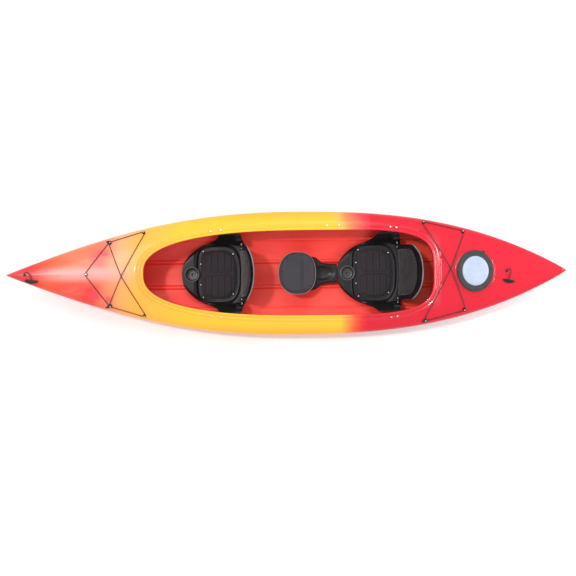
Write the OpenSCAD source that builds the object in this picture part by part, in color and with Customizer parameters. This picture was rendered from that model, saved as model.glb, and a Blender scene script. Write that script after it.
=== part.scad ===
// Tandem recreational kayak: a one-piece moulded polyethylene shell with its seats, hatch,
// foot braces, deck lines and carry handles. Millimetres.
// Frame: X forward to the bow, Y to port, Z up. The origin is under the middle of the boat,
// on the flat of the keel that it rests on.

/* [Hull] */
// Overall length, bow tip to stern tip
hull_length = 4110; // [4050:10:4200]
// Widest beam
beam = 912; // [906:2:916]
// Height of the widest line amidships
sheer_height = 205; // [202:1:210]
// Height of the deck crown amidships, where the cockpit interrupts it
crown_height = 310; // [308:1:314]
// Wall thickness of the moulded shell
wall = 6; // [5.5:0.5:6.5]

/* [Cockpit] */
// Length of the opening inside the coaming lip
cockpit_length = 2117; // [2110:1:2124]
// Width of the opening inside the coaming lip
cockpit_width = 626; // [622:1:630]
// Width of the rolled coaming, from its outer step to the lip
coaming_width = 47; // [45:1:50]

/* [Seats] */
// Centre of the front seat's cup holder, forward of the middle of the boat
front_seat_x = 712; // [708:1:716]
// Centre of the rear seat's cup holder
rear_seat_x = -457; // [-461:1:-453]
// Lean of the front backrest from upright, degrees
front_lean = 12; // [8:1:16]
// Lean of the rear backrest from upright, degrees
rear_lean = 24; // [20:1:28]
// Inside radius of the cup holders
cup_r = 46; // [44:0.5:47]
// Depth of the cup holders
cup_depth = 58; // [50:1:60]
// Centre of the removable middle seat
jump_seat_x = -79; // [-84:1:-74]

/* [Fittings] */
// Centre of the stern hatch
hatch_x = -1378; // [-1384:1:-1372]
// Half length of the hatch lid, along the boat
hatch_a = 132; // [130:1:134]
// Half width of the hatch lid, across the boat
hatch_b = 151; // [149:1:153]
// Diameter of the elastic deck cord
bungee_d = 6; // [5:0.5:6]
// Diameter of the carry handle ropes
rope_d = 7; // [6:0.5:7]
// Where the bow carry rope leaves the deck
bow_rope_x = 1908; // [1904:1:1912]
// Where the stern carry rope leaves the deck
stern_rope_x = -1612; // [-1616:1:-1608]

/* [Hidden] */

black = [0.09, 0.09, 0.10];
grey = [0.22, 0.22, 0.24];
steel = [0.75, 0.76, 0.78];
shell_red = [0.90, 0.16, 0.18];

// Lengths from the widest station to each tip.
max_beam_x = -25;
bow_len = hull_length / 2 - max_beam_x;
stern_len = hull_length / 2 + max_beam_x;
// How far the stem and the stern post rake under the tips, and how thick the tips are moulded.
bow_rake = 260;
stern_rake = 190;
tip_solid = 32;
// The cockpit's widest station, and the lengths from there to its two ends.
cockpit_x = -170;
cockpit_front = 1044 - cockpit_x;
cockpit_rear = cockpit_length - cockpit_front;
// Points round one loop of the shell.
ring_n = 80;
// Angles of the hull's lengthwise lines, from the keel plank up to the widest line.
hull_lines = [83, 75, 66, 56, 45, 34, 23, 12, 5];
// Places of the deck's lengthwise lines, from the widest line in to the coaming.
deck_lines = [0.04, 0.12, 0.25, 0.42, 0.62, 0.82];
// The coaming's section: distance out from the lip, and height above the deck.
coaming_top = [[coaming_width, 0], [42, 6], [36, 9], [29, 7], [24, 5], [18, 11], [10, 16], [3, 14],
    [0, 8], [0, -12]];
coaming_under = [[wall, -12], [wall, 2], [12, 8], [24, -2], [36, 3], [coaming_width, -wall]];
// Seats: the hinge of the backrest in the seat's own frame, whose origin is under the cup.
hinge_x = -375;
hinge_z = 124;
hinge_r = 4;
// Half widths, from the middle, of the backrest's trunnions and of the ears that hold them.
trunnion_y = 203.5;
ear_y = 219;
ear_t = 6;
// Running clearance round the hinge bolts.
running = 0.06;
// Deck button: base, neck and cap, and the height at which a cord lies round the neck.
button_h = 13;
neck_lift = 3.9;
button_r = 11;
neck_r = 5;

function smooth(t) = let(c = max(0, min(1, t))) c * c * (3 - 2 * c);
function mix(a, b, t) = a + (b - a) * t;

// ---- shape of the boat ----

// Share of the way from the widest station to the tip.
function end_share(x) =
    min(1, x > max_beam_x ? (x - max_beam_x) / bow_len : (max_beam_x - x) / stern_len);

function half_beam(x) =
    let(u = end_share(x), bow = x > max_beam_x,
        power = bow ? 2.08 - 0.28 * u * u : 2.66,
        blunt = bow ? 3 : 8)
    (beam / 2 - blunt) * (1 - pow(u, power)) + blunt * sqrt(max(0, 1 - pow(u, 60)));

function sheer_z(x) =
    sheer_height + (x > max_beam_x ? 113 : 80) * pow(end_share(x), 2.2);

function keel_z(x) =
    (x > max_beam_x ? 75 : 70) * pow(max(0, (end_share(x) - 0.35) / 0.65), 2.4);

function crown_z(x) =
    let(u = end_share(x), tail = max(0, (u - 0.5) / 0.5))
    crown_height + (x > max_beam_x ? 42 * smooth(2 * u) - 7 * pow(tail, 2)
                                   : 12 * smooth(2 * u) - 22 * pow(tail, 1.5));

// Height of the deck, or of its inner face for an inset.
function deck_z(x, y, inset = 0) =
    let(u = end_share(x), bow = x > max_beam_x,
        b = half_beam(x) - inset,
        r = b < 0.01 ? 0 : min(1, abs(y) / b),
        power = bow ? 2 - 0.5 * u * u : 2 + 0.6 * u,
        root = bow ? 0.5 + 0.12 * u * u : 0.5)
    mix(sheer_z(x), crown_z(x) - inset, pow(1 - pow(r, power), root));

function deck_normal(x, y) =
    let(e = 4,
        n = [deck_z(x - e, y) - deck_z(x + e, y), deck_z(x, y - e) - deck_z(x, y + e), 2 * e])
    n / norm(n);

// A point of the hull below the widest line: angle 0 is at that line, 90 at the keel.
function hull_point(x, side, angle, inset = 0, narrow = 1) =
    let(u = end_share(x), bow = x > max_beam_x,
        n = bow ? 2.2 - 0.9 * pow(u, 1.5) : 2.2 - 0.7 * u * u,
        down = pow(sin(angle), 2 / n),
        z = sheer_z(x) - (sheer_z(x) - keel_z(x) - inset) * down - 2 * down)
    [x - (bow ? bow_rake : -stern_rake) * pow(u, 6) * pow(down, 1.6),
     side * narrow * max(0, half_beam(x) - inset) * pow(cos(angle), 2 / n),
     max(inset, z)];

// Where loop angle a meets the widest line, and the coaming at distance d out from its lip.
function sheer_x(a, inset = 0) =
    max_beam_x + cos(a) * ((cos(a) >= 0 ? bow_len : stern_len) - (inset > 0 ? tip_solid : 0));
function cockpit_point(a, d) =
    let(c = cos(a), s = sin(a), n = c >= 0 ? 2.55 : 4,
        r = pow(pow(abs(c), n) + pow(abs(s), n), -1 / n))
    [cockpit_x + (c >= 0 ? cockpit_front + d : cockpit_rear + 1.2 * d) * r * c,
     (cockpit_width / 2 + d) * r * s];
// The inner skin closes bluntly before the solid tips.
function blunt_end(a) = sqrt(1 - pow(abs(cos(a)), 40));

function loop_angles() = [for (i = [0 : ring_n - 1]) 360 * i / ring_n];
function side_of(a) = abs(sin(a)) < 1e-6 ? 0 : sign(sin(a));

function hull_loop(angle, inset = 0) = [for (a = loop_angles())
    hull_point(sheer_x(a, inset), side_of(a), angle, inset, inset > 0 ? blunt_end(a) : 1)];

function deck_loop(t, inset = 0) = [for (a = loop_angles())
    let(x0 = sheer_x(a, inset),
        y0 = side_of(a) * max(0, half_beam(x0) - inset) * (inset > 0 ? blunt_end(a) : 1),
        c = cockpit_point(a, coaming_width),
        x = mix(x0, c.x, t), y = mix(y0, c.y, t))
    [x, y, deck_z(x, y, inset)]];

function coaming_loop(d, dz) = [for (a = loop_angles())
    let(c = cockpit_point(a, d)) [c.x, c.y, deck_z(c.x, c.y) + dz]];

function keel_line(inset) = [for (i = [0 : ring_n / 2])
    hull_point(sheer_x(360 * i / ring_n, inset), 0, 90, inset)];

function reversed(v) = [for (i = [len(v) - 1 : -1 : 0]) v[i]];

// The skin, loop by loop: outer hull, deck and coaming, then back along the inner skin.
function shell_loops() = concat(
    [for (t = hull_lines) hull_loop(t)], [hull_loop(0)],
    [for (t = deck_lines) deck_loop(t)],
    [for (c = coaming_top) coaming_loop(c[0], c[1])],
    [for (c = coaming_under) coaming_loop(c[0], c[1])],
    [for (t = reversed(deck_lines)) deck_loop(t, wall)],
    [hull_loop(0, wall)], [for (t = reversed(hull_lines)) hull_loop(t, wall)]);

// Triangles between two loops of n points that start at indices p and q.
function band(p, q, n) = [for (i = [0 : n - 1]) let(j = (i + 1) % n)
    each [[p + i, q + j, p + j], [p + i, q + i, q + j]]];

// Triangles between a loop at p and the keel line at q, which both its sides share.
function keel_band(p, q, n, flip) = [for (i = [0 : n - 1])
    let(j = (i + 1) % n, k = i <= n / 2 ? i : n - i, m = j == 0 ? 0 : (j <= n / 2 ? j : n - j),
        quad = [[p + i, p + j, q + m], [p + i, q + m, q + k]])
    for (t = quad) if (t[0] != t[1] && t[1] != t[2] && t[0] != t[2]) flip ? reversed(t) : t];

module moulded_skin() {
    loops = shell_loops();
    rings = len(loops);
    points = concat([for (l = loops) each l], keel_line(0), keel_line(wall));
    faces = concat(
        [for (k = [0 : rings - 2]) each band(k * ring_n, (k + 1) * ring_n, ring_n)],
        keel_band(0, rings * ring_n, ring_n, false),
        keel_band((rings - 1) * ring_n, rings * ring_n + ring_n / 2 + 1, ring_n, true));
    polyhedron(points, faces);
}

// ---- helpers ----

// Places children on the deck, their Z along the deck's normal.
module on_deck(x, y, lift = 0) {
    n = deck_normal(x, y);
    translate([x, y, deck_z(x, y)])
        rotate(a = acos(n.z), v = [-n.y, n.x, 0])
            translate([0, 0, lift])
                children();
}

module ellipse(a, b) {
    steps = 64;
    polygon([for (i = [0 : steps - 1]) [a * cos(360 * i / steps), b * sin(360 * i / steps)]]);
}

// A closed solid between two grids of points with the same rows and columns. Seen from the top's
// side, the rows run away to the right of the way that the columns run.
module sheet(top, bottom) {
    rows = len(top);
    cols = len(top[0]);
    all = concat([for (r = top) each r], [for (r = bottom) each r]);
    half = rows * cols;
    rim = concat([for (j = [0 : cols - 2]) j], [for (i = [0 : rows - 2]) i * cols + cols - 1],
        [for (j = [cols - 1 : -1 : 1]) (rows - 1) * cols + j],
        [for (i = [rows - 1 : -1 : 1]) i * cols]);
    count = len(rim);
    faces = concat(
        [for (i = [0 : rows - 2]) for (j = [0 : cols - 2]) let(p = i * cols + j)
            each [[p, p + 1, p + cols + 1], [p, p + cols + 1, p + cols]]],
        [for (i = [0 : rows - 2]) for (j = [0 : cols - 2]) let(p = half + i * cols + j)
            each [[p, p + cols + 1, p + 1], [p, p + cols, p + cols + 1]]],
        [for (i = [0 : count - 1]) let(p = rim[i], q = rim[(i + 1) % count])
            each [[p, half + p, half + q], [p, half + q, q]]]);
    polyhedron(all, faces);
}

// A round cord swept along a list of points.
module cord(path, d, sides = 8) {
    last = len(path) - 1;
    rings = [for (i = [0 : last])
        let(t = path[min(last, i + 1)] - path[max(0, i - 1)], f = t / norm(t),
            s = cross(f, [0, 0, 1]), across = norm(s) < 0.05 ? [0, 1, 0] : s / norm(s),
            up = cross(across, f))
        [for (k = [0 : sides - 1])
            path[i] + d / 2 * (cos(360 * k / sides) * across + sin(360 * k / sides) * up)]];
    faces = concat(
        [[for (k = [0 : sides - 1]) k]],
        [for (i = [0 : last - 1]) each [for (k = [0 : sides - 1])
            let(p = i * sides, q = (k + 1) % sides)
            each [[p + k, p + sides + k, p + q], [p + sides + k, p + sides + q, p + q]]]],
        [[for (k = [sides - 1 : -1 : 0]) last * sides + k]]);
    polyhedron([for (r = rings) each r], faces);
}

// A smooth curve through hand-chosen points.
function curve(p, steps) = concat([for (i = [0 : len(p) - 2]) for (k = [0 : steps - 1])
    let(t = k / steps, a = p[max(0, i - 1)], b = p[i], c = p[i + 1], d = p[min(len(p) - 1, i + 2)])
    0.5 * (2 * b + (c - a) * t + (2 * a - 5 * b + 4 * c - d) * t * t
        + (3 * b - a - 3 * c + d) * t * t * t)], [p[len(p) - 1]]);

// ---- fastener places ----

// Pairs of bolts through the coaming: front seat, spare solo place, rear seat.
front_bracket_xs = [553, 480];
solo_xs = [-300, -388];
rear_bracket_xs = [-766, -810];
coaming_bolt_d = 30;

// Half width of the coaming line at distance d out from the lip, at station x.
function coaming_y(x, d) =
    let(front = x > cockpit_x, n = front ? 2.55 : 4,
        u = abs(x - cockpit_x) / (front ? cockpit_front + d : cockpit_rear + 1.2 * d))
    (cockpit_width / 2 + d) * pow(1 - pow(u, n), 1 / n);

bow_buttons = [[1458, 0], [1290, 226], [1290, -226], [1045, 301], [1045, -301]];
stern_buttons = [[-1018, 354], [-1012, -358], [-1303, 280], [-1298, -288]];

// Foot rails: middle station, height, and the distance in from the hull's widest line.
rail_length = 360;
rail_z = 140;
rail_bolt_gap = 300;
function rail_x(seat) = seat == "front" ? 1265 : 130;
function hull_y(x, z, inset) =
    let(u = end_share(x), n = x > max_beam_x ? 2.2 - 0.9 * pow(u, 1.5) : 2.2 - 0.7 * u * u,
        v = (sheer_z(x) - z) / (sheer_z(x) - keel_z(x) - inset))
    (half_beam(x) - inset) * pow(1 - pow(v, n), 1 / n);

// ---- hull and what is built into it ----

module coaming_bolt_place(x, side, lift = 0) {
    on_deck(x, side * coaming_y(x, coaming_bolt_d), lift) children();
}

// Clearance holes are drawn as two joined discs.
module drill(r, depth) {
    hull() {
        translate([0, 0, -depth]) cylinder(r = r, h = 1, $fn = 8);
        translate([0, 0, 12]) cylinder(r = r, h = 1, $fn = 8);
    }
}

module hull_shell() {
    color(shell_red)
    difference() {
        union() {
            moulded_skin();
            // Moulded flat that the hatch ring is screwed to.
            translate([hatch_x, 0, hatch_z - 26]) linear_extrude(26) ellipse(hatch_a + 8, hatch_b + 8);
        }
        translate([hatch_x, 0, 200]) linear_extrude(200) ellipse(hatch_a - 30, hatch_b - 30);
        for (x = concat(front_bracket_xs, solo_xs, rear_bracket_xs), side = [-1, 1])
            coaming_bolt_place(x, side) drill(3.8, 20);
        for (p = concat(bow_buttons, stern_buttons)) on_deck(p.x, p.y) drill(2.8, 20);
        ring_screw_places() translate([0, 0, -13]) cylinder(r = 2.2, h = 20, $fn = 6);
        for (x = [bow_rope_x, stern_rope_x]) on_deck(x, 0) drill(7.5, 24);
        drain_place() drill(10.5, 24);
        for (seat = ["front", "rear"], side = [-1, 1], dx = [-1, 1])
            rail_frame(seat, side) translate([dx * rail_bolt_gap / 2, 0, 0])
                rotate([-90, 0, 0]) translate([0, 0, -24]) hull() {
                    cylinder(r = 3.8, h = 1, $fn = 8);
                    translate([0, 0, 50]) cylinder(r = 3.8, h = 1, $fn = 8);
                }
    }
}

// A foam wall that fills the hull's section between two stations.
module section_block(x0, x1, gap, low_deck) {
    angles = [90, 78, 66, 56, 45, 34, 23, 12, 0];
    lines = [0.9, 0.75, 0.55, 0.3, 0];
    function half(x) = concat(
        [for (t = angles) let(h = hull_point(x, 1, t, wall + gap)) [x, h.y, h.z]],
        [for (r = lines) let(y = r * (half_beam(x) - wall - gap))
            [x, y, deck_z(x, y, wall + gap) - low_deck]]);
    function ring(x) = let(h = half(x), n = len(h))
        concat(h, [for (i = [n - 2 : -1 : 1]) [x, -h[i].y, h[i].z]]);
    stations = [for (i = [0 : 2]) mix(x0, x1, i / 2)];
    n = len(ring(x0));
    polyhedron([for (x = stations) each ring(x)], concat(
        [[for (i = [n - 1 : -1 : 0]) i]],
        [for (k = [0 : 1]) each [for (t = band(k * n, (k + 1) * n, n)) reversed(t)]],
        [[for (i = [0 : n - 1]) 2 * n + i]]));
}

module stern_bulkhead() {
    color(grey) section_block(-1165, -1225, 5, 0);
}

module bow_flotation_block() {
    color(grey)
    intersection() {
        section_block(1640, 1320, 20, 4);
        translate([1300, -62, 0]) cube([600, 124, 400]);
    }
}

// ---- hatch ----

hatch_z = 322;

// Places children at the ring's screws.
module ring_screw_places() {
    count = 8;
    for (i = [0 : count - 1]) let(a = 360 * (i + 0.5) / count)
        translate([hatch_x + (hatch_a - 8) * cos(a), (hatch_b - 8) * sin(a), hatch_z]) children();
}

module hatch_ring() {
    color(black) difference() {
        translate([hatch_x, 0, hatch_z + 0.4]) {
            linear_extrude(4) difference() {
                ellipse(hatch_a, hatch_b);
                ellipse(hatch_a - 34, hatch_b - 34);
            }
            translate([0, 0, 4]) linear_extrude(10) difference() {
                ellipse(hatch_a - 22, hatch_b - 22);
                ellipse(hatch_a - 34, hatch_b - 34);
            }
        }
        ring_screw_places() cylinder(r = 2.1, h = 20, center = true, $fn = 24);
    }
}

module hatch_gasket() {
    color(black) translate([hatch_x, 0, hatch_z + 4.7]) linear_extrude(4) difference() {
        ellipse(hatch_a - 15, hatch_b - 15);
        ellipse(hatch_a - 21.5, hatch_b - 21.5);
    }
}

module hatch_ring_screws() {
    color(steel) ring_screw_places() {
        translate([0, 0, 4.6]) cylinder(r = 4, h = 2, $fn = 24);
        translate([0, 0, -12]) cylinder(r = 1.8, h = 17, $fn = 24);
    }
}

// The rubber cover: a skirt round the ring, a top web with a pull tab, open in the middle.
module hatch_lid() {
    tab_a = 245;
    color([0.20, 0.21, 0.22]) translate([hatch_x, 0, hatch_z + 9.4]) {
        linear_extrude(6) difference() {
            ellipse(hatch_a, hatch_b);
            ellipse(hatch_a - 14, hatch_b - 14);
        }
        translate([0, 0, 6]) linear_extrude(9) difference() {
            ellipse(hatch_a - 3, hatch_b - 3);
            ellipse(hatch_a - 35.5, hatch_b - 41.5);
        }
        translate([hatch_a * cos(tab_a), hatch_b * sin(tab_a), 8])
            cylinder(r = 13, h = 5, $fn = 32);
    }
}

module hatch_lid_panel() {
    color([0.80, 0.84, 0.90]) translate([hatch_x, 0, hatch_z + 15.4]) {
        linear_extrude(6) ellipse(hatch_a - 36, hatch_b - 42);
        translate([0, 0, 6]) linear_extrude(5) ellipse(hatch_a - 42, hatch_b - 48);
    }
}

// ---- drain plug ----

// The plug is low on the starboard side of the stern: its loop of the shell, and its angle there.
drain_loop = 207;
drain_angle = 45;

// Places children on the side of the hull at the plug, their Z straight out of the skin.
module drain_place(lift = 0) {
    x = sheer_x(drain_loop);
    along = hull_point(x + 4, -1, drain_angle) - hull_point(x - 4, -1, drain_angle);
    down = hull_point(x, -1, drain_angle + 1) - hull_point(x, -1, drain_angle - 1);
    n = cross(down, along) / norm(cross(down, along));
    translate(hull_point(x, -1, drain_angle))
        rotate(a = acos(n.z), v = [-n.y, n.x, 0])
            translate([0, 0, lift])
                children();
}

module drain_plug_seat() {
    color(black) drain_place(0.6) difference() {
        union() {
            cylinder(r = 13.5, h = 3, $fn = 48);
            translate([0, 0, -14]) cylinder(r = 9.2, h = 15, $fn = 48);
        }
        translate([0, 0, -15]) cylinder(r = 6, h = 30, $fn = 48);
    }
}

module drain_plug_washer() {
    color(grey) drain_place(4) difference() {
        cylinder(r = 10, h = 1.2, $fn = 48);
        translate([0, 0, -1]) cylinder(r = 6.2, h = 4, $fn = 48);
    }
}

module drain_plug() {
    color(black) drain_place(5.3) {
        cylinder(r = 11, h = 4, $fn = 48);
        translate([-9, -1.6, 4]) cube([18, 3.2, 5]);
        translate([0, 0, -17]) cylinder(r = 5.6, h = 17.5, $fn = 48);
    }
}

// ---- carry handles ----

module rope_grommet(x) {
    color(black) on_deck(x, 0, 0.6) difference() {
        union() {
            cylinder(r = 10, h = 2.5, $fn = 48);
            translate([0, 0, -12]) cylinder(r = 6.6, h = 13, $fn = 48);
        }
        translate([0, 0, -13]) cylinder(r = rope_d / 2 + 0.7, h = 30, $fn = 48);
    }
}

// Each rope rises out of its grommet, leans to starboard and comes back over to its toggle.
bow_rope_route = [[0, 0, -10], [0, 0, 5], [0, -4, 18], [-6, -14, 26], [-20, -20, 28], [-34, -12, 27],
    [-42, 4, 21], [-47, 19, 14], [-48, 31, 8], [-47, 45, 0]];
bow_toggle_at = [-47, 50, -3];
stern_rope_route = [[0, 0, -10], [0, 0, 5], [-2, -3, 17], [-9, -12, 24], [-19, -12, 26], [-25, 2, 24],
    [-23, 22, 20], [-18, 42, 15], [-16, 55, 12], [-13, 71, 10]];
stern_toggle_at = [-12, 77, 10];

module carry_rope(x, route) {
    color(black) translate([x, 0, deck_z(x, 0)]) cord(curve(route, 3), rope_d);
}

// A half-moon grip with the rope's hole through its middle.
module toggle(x, at, length, yaw, roll) {
    color(black) translate([x, 0, deck_z(x, 0)] + at) rotate([roll, 0, yaw]) difference() {
        hull() {
            for (e = [-1, 1]) translate([e * (length / 2 - 7), -4, 0]) sphere(r = 7, $fn = 24);
            for (e = [-1, 1]) translate([e * 22, 0, 0]) sphere(r = 10, $fn = 24);
            translate([0, 7, 0]) sphere(r = 9, $fn = 24);
        }
        rotate([90, 0, 0]) cylinder(r = rope_d / 2 + 1, h = 60, center = true, $fn = 32);
    }
}

// ---- deck lines ----

module deck_buttons(places) {
    color(black) for (p = places) on_deck(p.x, p.y, 0.8) difference() {
        union() {
            cylinder(r = button_r - 1, h = 2.5, $fn = 32);
            cylinder(r = neck_r, h = button_h - 2, $fn = 32);
            translate([0, 0, button_h - 3]) cylinder(r = button_r, h = 3, $fn = 32);
        }
        translate([0, 0, -1]) cylinder(r = 2.5, h = 30, $fn = 32);
    }
}

module button_screws(places) {
    color(steel) for (p = places) on_deck(p.x, p.y, 0.8) {
        translate([0, 0, -18]) cylinder(r = 2.2, h = button_h + 19, $fn = 24);
        translate([0, 0, button_h + 0.1]) cylinder(r = 5, h = 2.4, $fn = 24);
    }
}

// A taut run between two buttons: beside the necks at its ends and resting on the deck between.
// side_a and side_b say on which side of each neck the cord passes. hump lifts a run over the one
// that it crosses, pull is how far the other cord drags it aside there, and ride lifts its first
// part over the coaming's step. A run that carries the cord's free end starts or stops short of its
// button, where the knot is tied.
function run(a, b, side_a, side_b, hump, pull, ride, free_a, free_b) =
    let(d = [b.x - a.x, b.y - a.y] / norm([b.x - a.x, b.y - a.y]), w = [-d.y, d.x],
        off = neck_r + bungee_d / 2 + 1.2,
        p = [a.x, a.y] + side_a * off * w + free_a * d,
        q = [b.x, b.y] + side_b * off * w - free_b * d,
        cross_t = abs(a.y) / (abs(a.y) + abs(b.y)),
        steps = norm(pull) > 0 ? 14 : 7)
    [for (i = [0 : steps])
        let(t = i / steps,
            drag = pull * max(0, min(t / cross_t, (1 - t) / (1 - cross_t))),
            at = mix(p, q, t) + drag,
            low = smooth(5 * t) * smooth(5 * (1 - t)),
            over = hump * pow(max(0, 1 - abs(t - cross_t) / 0.3), 2),
            step = ride * smooth(t / 0.15) * smooth((0.6 - t) / 0.25))
        [at.x, at.y, deck_z(at.x, at.y)]
            + (bungee_d / 2 + mix(neck_lift, 2.4, low) + over + step) * deck_normal(at.x, at.y)];

// The turn round a button's neck, between the end of one run and the start of the next.
function turn(c, p, q) =
    let(a0 = atan2(p.y - c.y, p.x - c.x), raw = atan2(q.y - c.y, q.x - c.x) - a0,
        away = raw > 180 ? raw - 360 : (raw < -180 ? raw + 360 : raw),
        r = neck_r + bungee_d / 2 + 1.2)
    [for (i = [1 : 3]) let(a = a0 + away * i / 4, x = c.x + r * cos(a), y = c.y + r * sin(a))
        [x, y, deck_z(x, y)] + (bungee_d / 2 + neck_lift) * deck_normal(x, y)];

// A whole cord: a list of [from, to, side, side, hump, pull, ride], joined by the turns between.
knot_gap = 26;
function laced(stops) =
    let(last = len(stops) - 1,
        runs = [for (i = [0 : last]) let(s = stops[i])
            run(s[0], s[1], s[2], s[3], s[4], s[5], s[6], i == 0 ? knot_gap : 0,
                i == last ? knot_gap : 0)])
    [for (i = [0 : len(runs) - 1]) each concat(runs[i],
        i < len(runs) - 1 ? turn(stops[i][1], runs[i][len(runs[i]) - 1], runs[i + 1][0]) : [])];

still = [0, 0];
bow_pull = [17, 17];
stern_pull = [-26, -15];
rim_ride = 9;
bow_nose = bow_buttons[0];
bow_line = laced([
    [bow_buttons[2], bow_nose, -1, -1, 0, still, 0],
    [bow_nose, bow_buttons[1], -1, -1, 0, still, 0],
    [bow_buttons[1], bow_buttons[3], -1, -1, 0, still, 0],
    [bow_buttons[3], bow_buttons[2], -1, 1, 0, bow_pull, 0],
    [bow_buttons[2], bow_buttons[4], 1, 1, 0, still, 0],
    [bow_buttons[4], bow_buttons[1], 1, -1, 9, bow_pull, 0]]);
stern_line = laced([
    [stern_buttons[0], stern_buttons[3], 1, -1, 0, stern_pull, rim_ride],
    [stern_buttons[3], stern_buttons[1], -1, -1, 0, still, 0],
    [stern_buttons[1], stern_buttons[2], -1, 1, 9, stern_pull, rim_ride],
    [stern_buttons[2], stern_buttons[0], 1, 1, 0, still, 0]]);

module bow_bungee() {
    color(black) cord(bow_line, bungee_d);
}

module stern_bungee() {
    color(black) cord(stern_line, bungee_d);
}

// ---- seats ----

// Height of the pan's bed, of the rim round the bed and of the cup shelf, and the pan's thickness.
pan_bed = 66;
pan_rim = 86;
pan_shelf = 94;
pan_t = 4.5;
// Middle of the seat pad, its half length and half width, how much it narrows forward, and the
// bed's margin round it.
pad_x = -201;
pad_l = 147;
pad_w = 198;
pad_taper = 0.03;
bed_gap = 10;

// The pad is square in front and rounder behind.
function pad_power(forward) = forward ? 5 : 2.8;

// How far out a point is from the middle of the bed: 1 on its outline.
function bed_share(x, y) =
    let(n = pad_power(x > pad_x),
        u = abs(x - pad_x) / (pad_l + bed_gap),
        taper = 1 - pad_taper * (x - pad_x) / pad_l,
        v = abs(y) / (pad_w + bed_gap) / taper)
    pow(pow(u, n) + pow(v, n), 1 / n);

// Half width of the pan along the seat's frame: a rounded nose, the bed, the wings, the back.
function pan_w(x) = lookup(x, [[-416, 180], [-402, 214], [-392, 230], [-375, 293], [-220, 293],
    [-211, 278], [-200, 266], [-186, 256], [-150, 240], [-100, 223], [-55, 203], [-17, 177],
    [20, 144], [45, 115], [60, 92], [69, 64], [73, 40], [75, 14]]);

// Upper surface of the pan: a shelf round the cup, a sunk bed for the pad, and wings.
function pan_z(x, y) =
    let(v = min(1, abs(y) / pan_w(x)),
        wing = smooth((-182 - x) / 32),
        edge = pow(v, 14) * (1 - wing),
        rim = mix(pan_rim, pan_shelf, smooth((x + 42) / 30)))
    mix(pan_bed, rim, smooth((bed_share(x, y) - 1) / 0.11))
        + 162 * pow(smooth((abs(y) - 212) / 80), 1.15) - 24 * edge;

// Stations along the pan, and its columns: 0 to 1 across the bed, 1 to 2 out to the edge.
pan_xs = [75, 73, 69, 60, 45, 20, 0, -16, -31, -40, -48, -60, -100, -182, -200, -211, -220, -232,
    -260, -300, -325, -340, -352, -362, -375, -392, -402, -416];
pan_half = [0, 0.6, 0.76, 0.88, 1, 1.15, 1.3, 1.45, 1.6, 1.8, 2];
pan_columns = concat([for (c = reversed(pan_half)) c],
    [for (i = [1 : len(pan_half) - 1]) -pan_half[i]]);
function pan_y(x, c) =
    let(w = pan_w(x), flat = min(200, 0.8 * w), a = abs(c))
    sign(c) * (a <= 1 ? a * flat : flat + (a - 1) * (w - flat));

module seat_pan(x) {
    top = [for (px = pan_xs) [for (c = pan_columns) let(y = pan_y(px, c)) [px, y, pan_z(px, y)]]];
    bottom = [for (row = top) [for (p = row)
        let(slope = (pan_z(p.x, p.y + 2) - pan_z(p.x, p.y - 2)) / 4)
        p - [0, 0, pan_t * min(2.6, sqrt(1 + slope * slope))]]];
    color(black) translate([x, 0, 0]) difference() {
        union() {
            sheet(top, bottom);
            // Ears that carry the backrest's hinge bolts.
            for (side = [-1, 1]) translate([hinge_x, side * ear_y, 0]) {
                translate([-17, -ear_t / 2, 82]) cube([34, ear_t, hinge_z - 82]);
                translate([0, 0, hinge_z]) rotate([90, 0, 0])
                    cylinder(r = 17, h = ear_t, center = true, $fn = 48);
            }
        }
        cylinder(r = cup_r + 4.5, h = 200, $fn = 64);
        for (side = [-1, 1]) translate([hinge_x, side * ear_y, hinge_z]) rotate([90, 0, 0])
            cylinder(r = hinge_r + running, h = 20, center = true, $fn = 48);
    }
}

// Foam block between the hull's floor and the pan's bed.
module seat_riser(x) {
    floor_z = 11;
    color(grey) translate([x - 305, -110, floor_z]) cube([190, 220, pan_bed - pan_t - 0.5 - floor_z]);
}

// Foam pad on the pan's bed.
function pad_outline(t) =
    let(c = cos(t), s = sin(t), n = pad_power(c > 0),
        r = pow(pow(abs(c), n) + pow(abs(s), n), -1 / n))
    [pad_x + pad_l * r * c, pad_w * r * s * (1 - pad_taper * c)];

module seat_pad(x) {
    steps = 36;
    thick = 19;
    function ring(k, z) = [for (i = [0 : steps - 1])
        let(p = pad_outline(360 * i / steps)) [mix(pad_x, p.x, k), p.y * k, z]];
    rings = [ring(0.93, 0), ring(0.985, 3), ring(1, 9), ring(0.985, 15), ring(0.95, thick)];
    color([0.15, 0.13, 0.16]) translate([x, 0, 67]) polyhedron(
        [for (r = rings) each r],
        concat([[for (i = [0 : steps - 1]) i]],
            [for (k = [0 : 3]) each band(k * steps, (k + 1) * steps, steps)],
            [[for (i = [steps - 1 : -1 : 0]) 4 * steps + i]]));
}

stud_places = [[-84, 174], [-84, -174], [-66, 78], [-66, -78], [-311, 151], [-311, -151]];

module pad_studs(x) {
    color(grey) for (p = stud_places) translate([x + p.x, p.y, 86.2])
        cylinder(r = 6.5, h = 3, $fn = 32);
}

module cup_insert(x) {
    color(black) translate([x, 0, 0]) difference() {
        union() {
            translate([0, 0, 94.6]) cylinder(r = cup_r + 11, h = 3, $fn = 64);
            translate([0, 0, 97.6 - cup_depth - 4])
                cylinder(r = cup_r + 4, h = cup_depth + 2, $fn = 64);
        }
        translate([0, 0, 97.6 - cup_depth]) cylinder(r = cup_r, h = 100, $fn = 64);
    }
}

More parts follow.
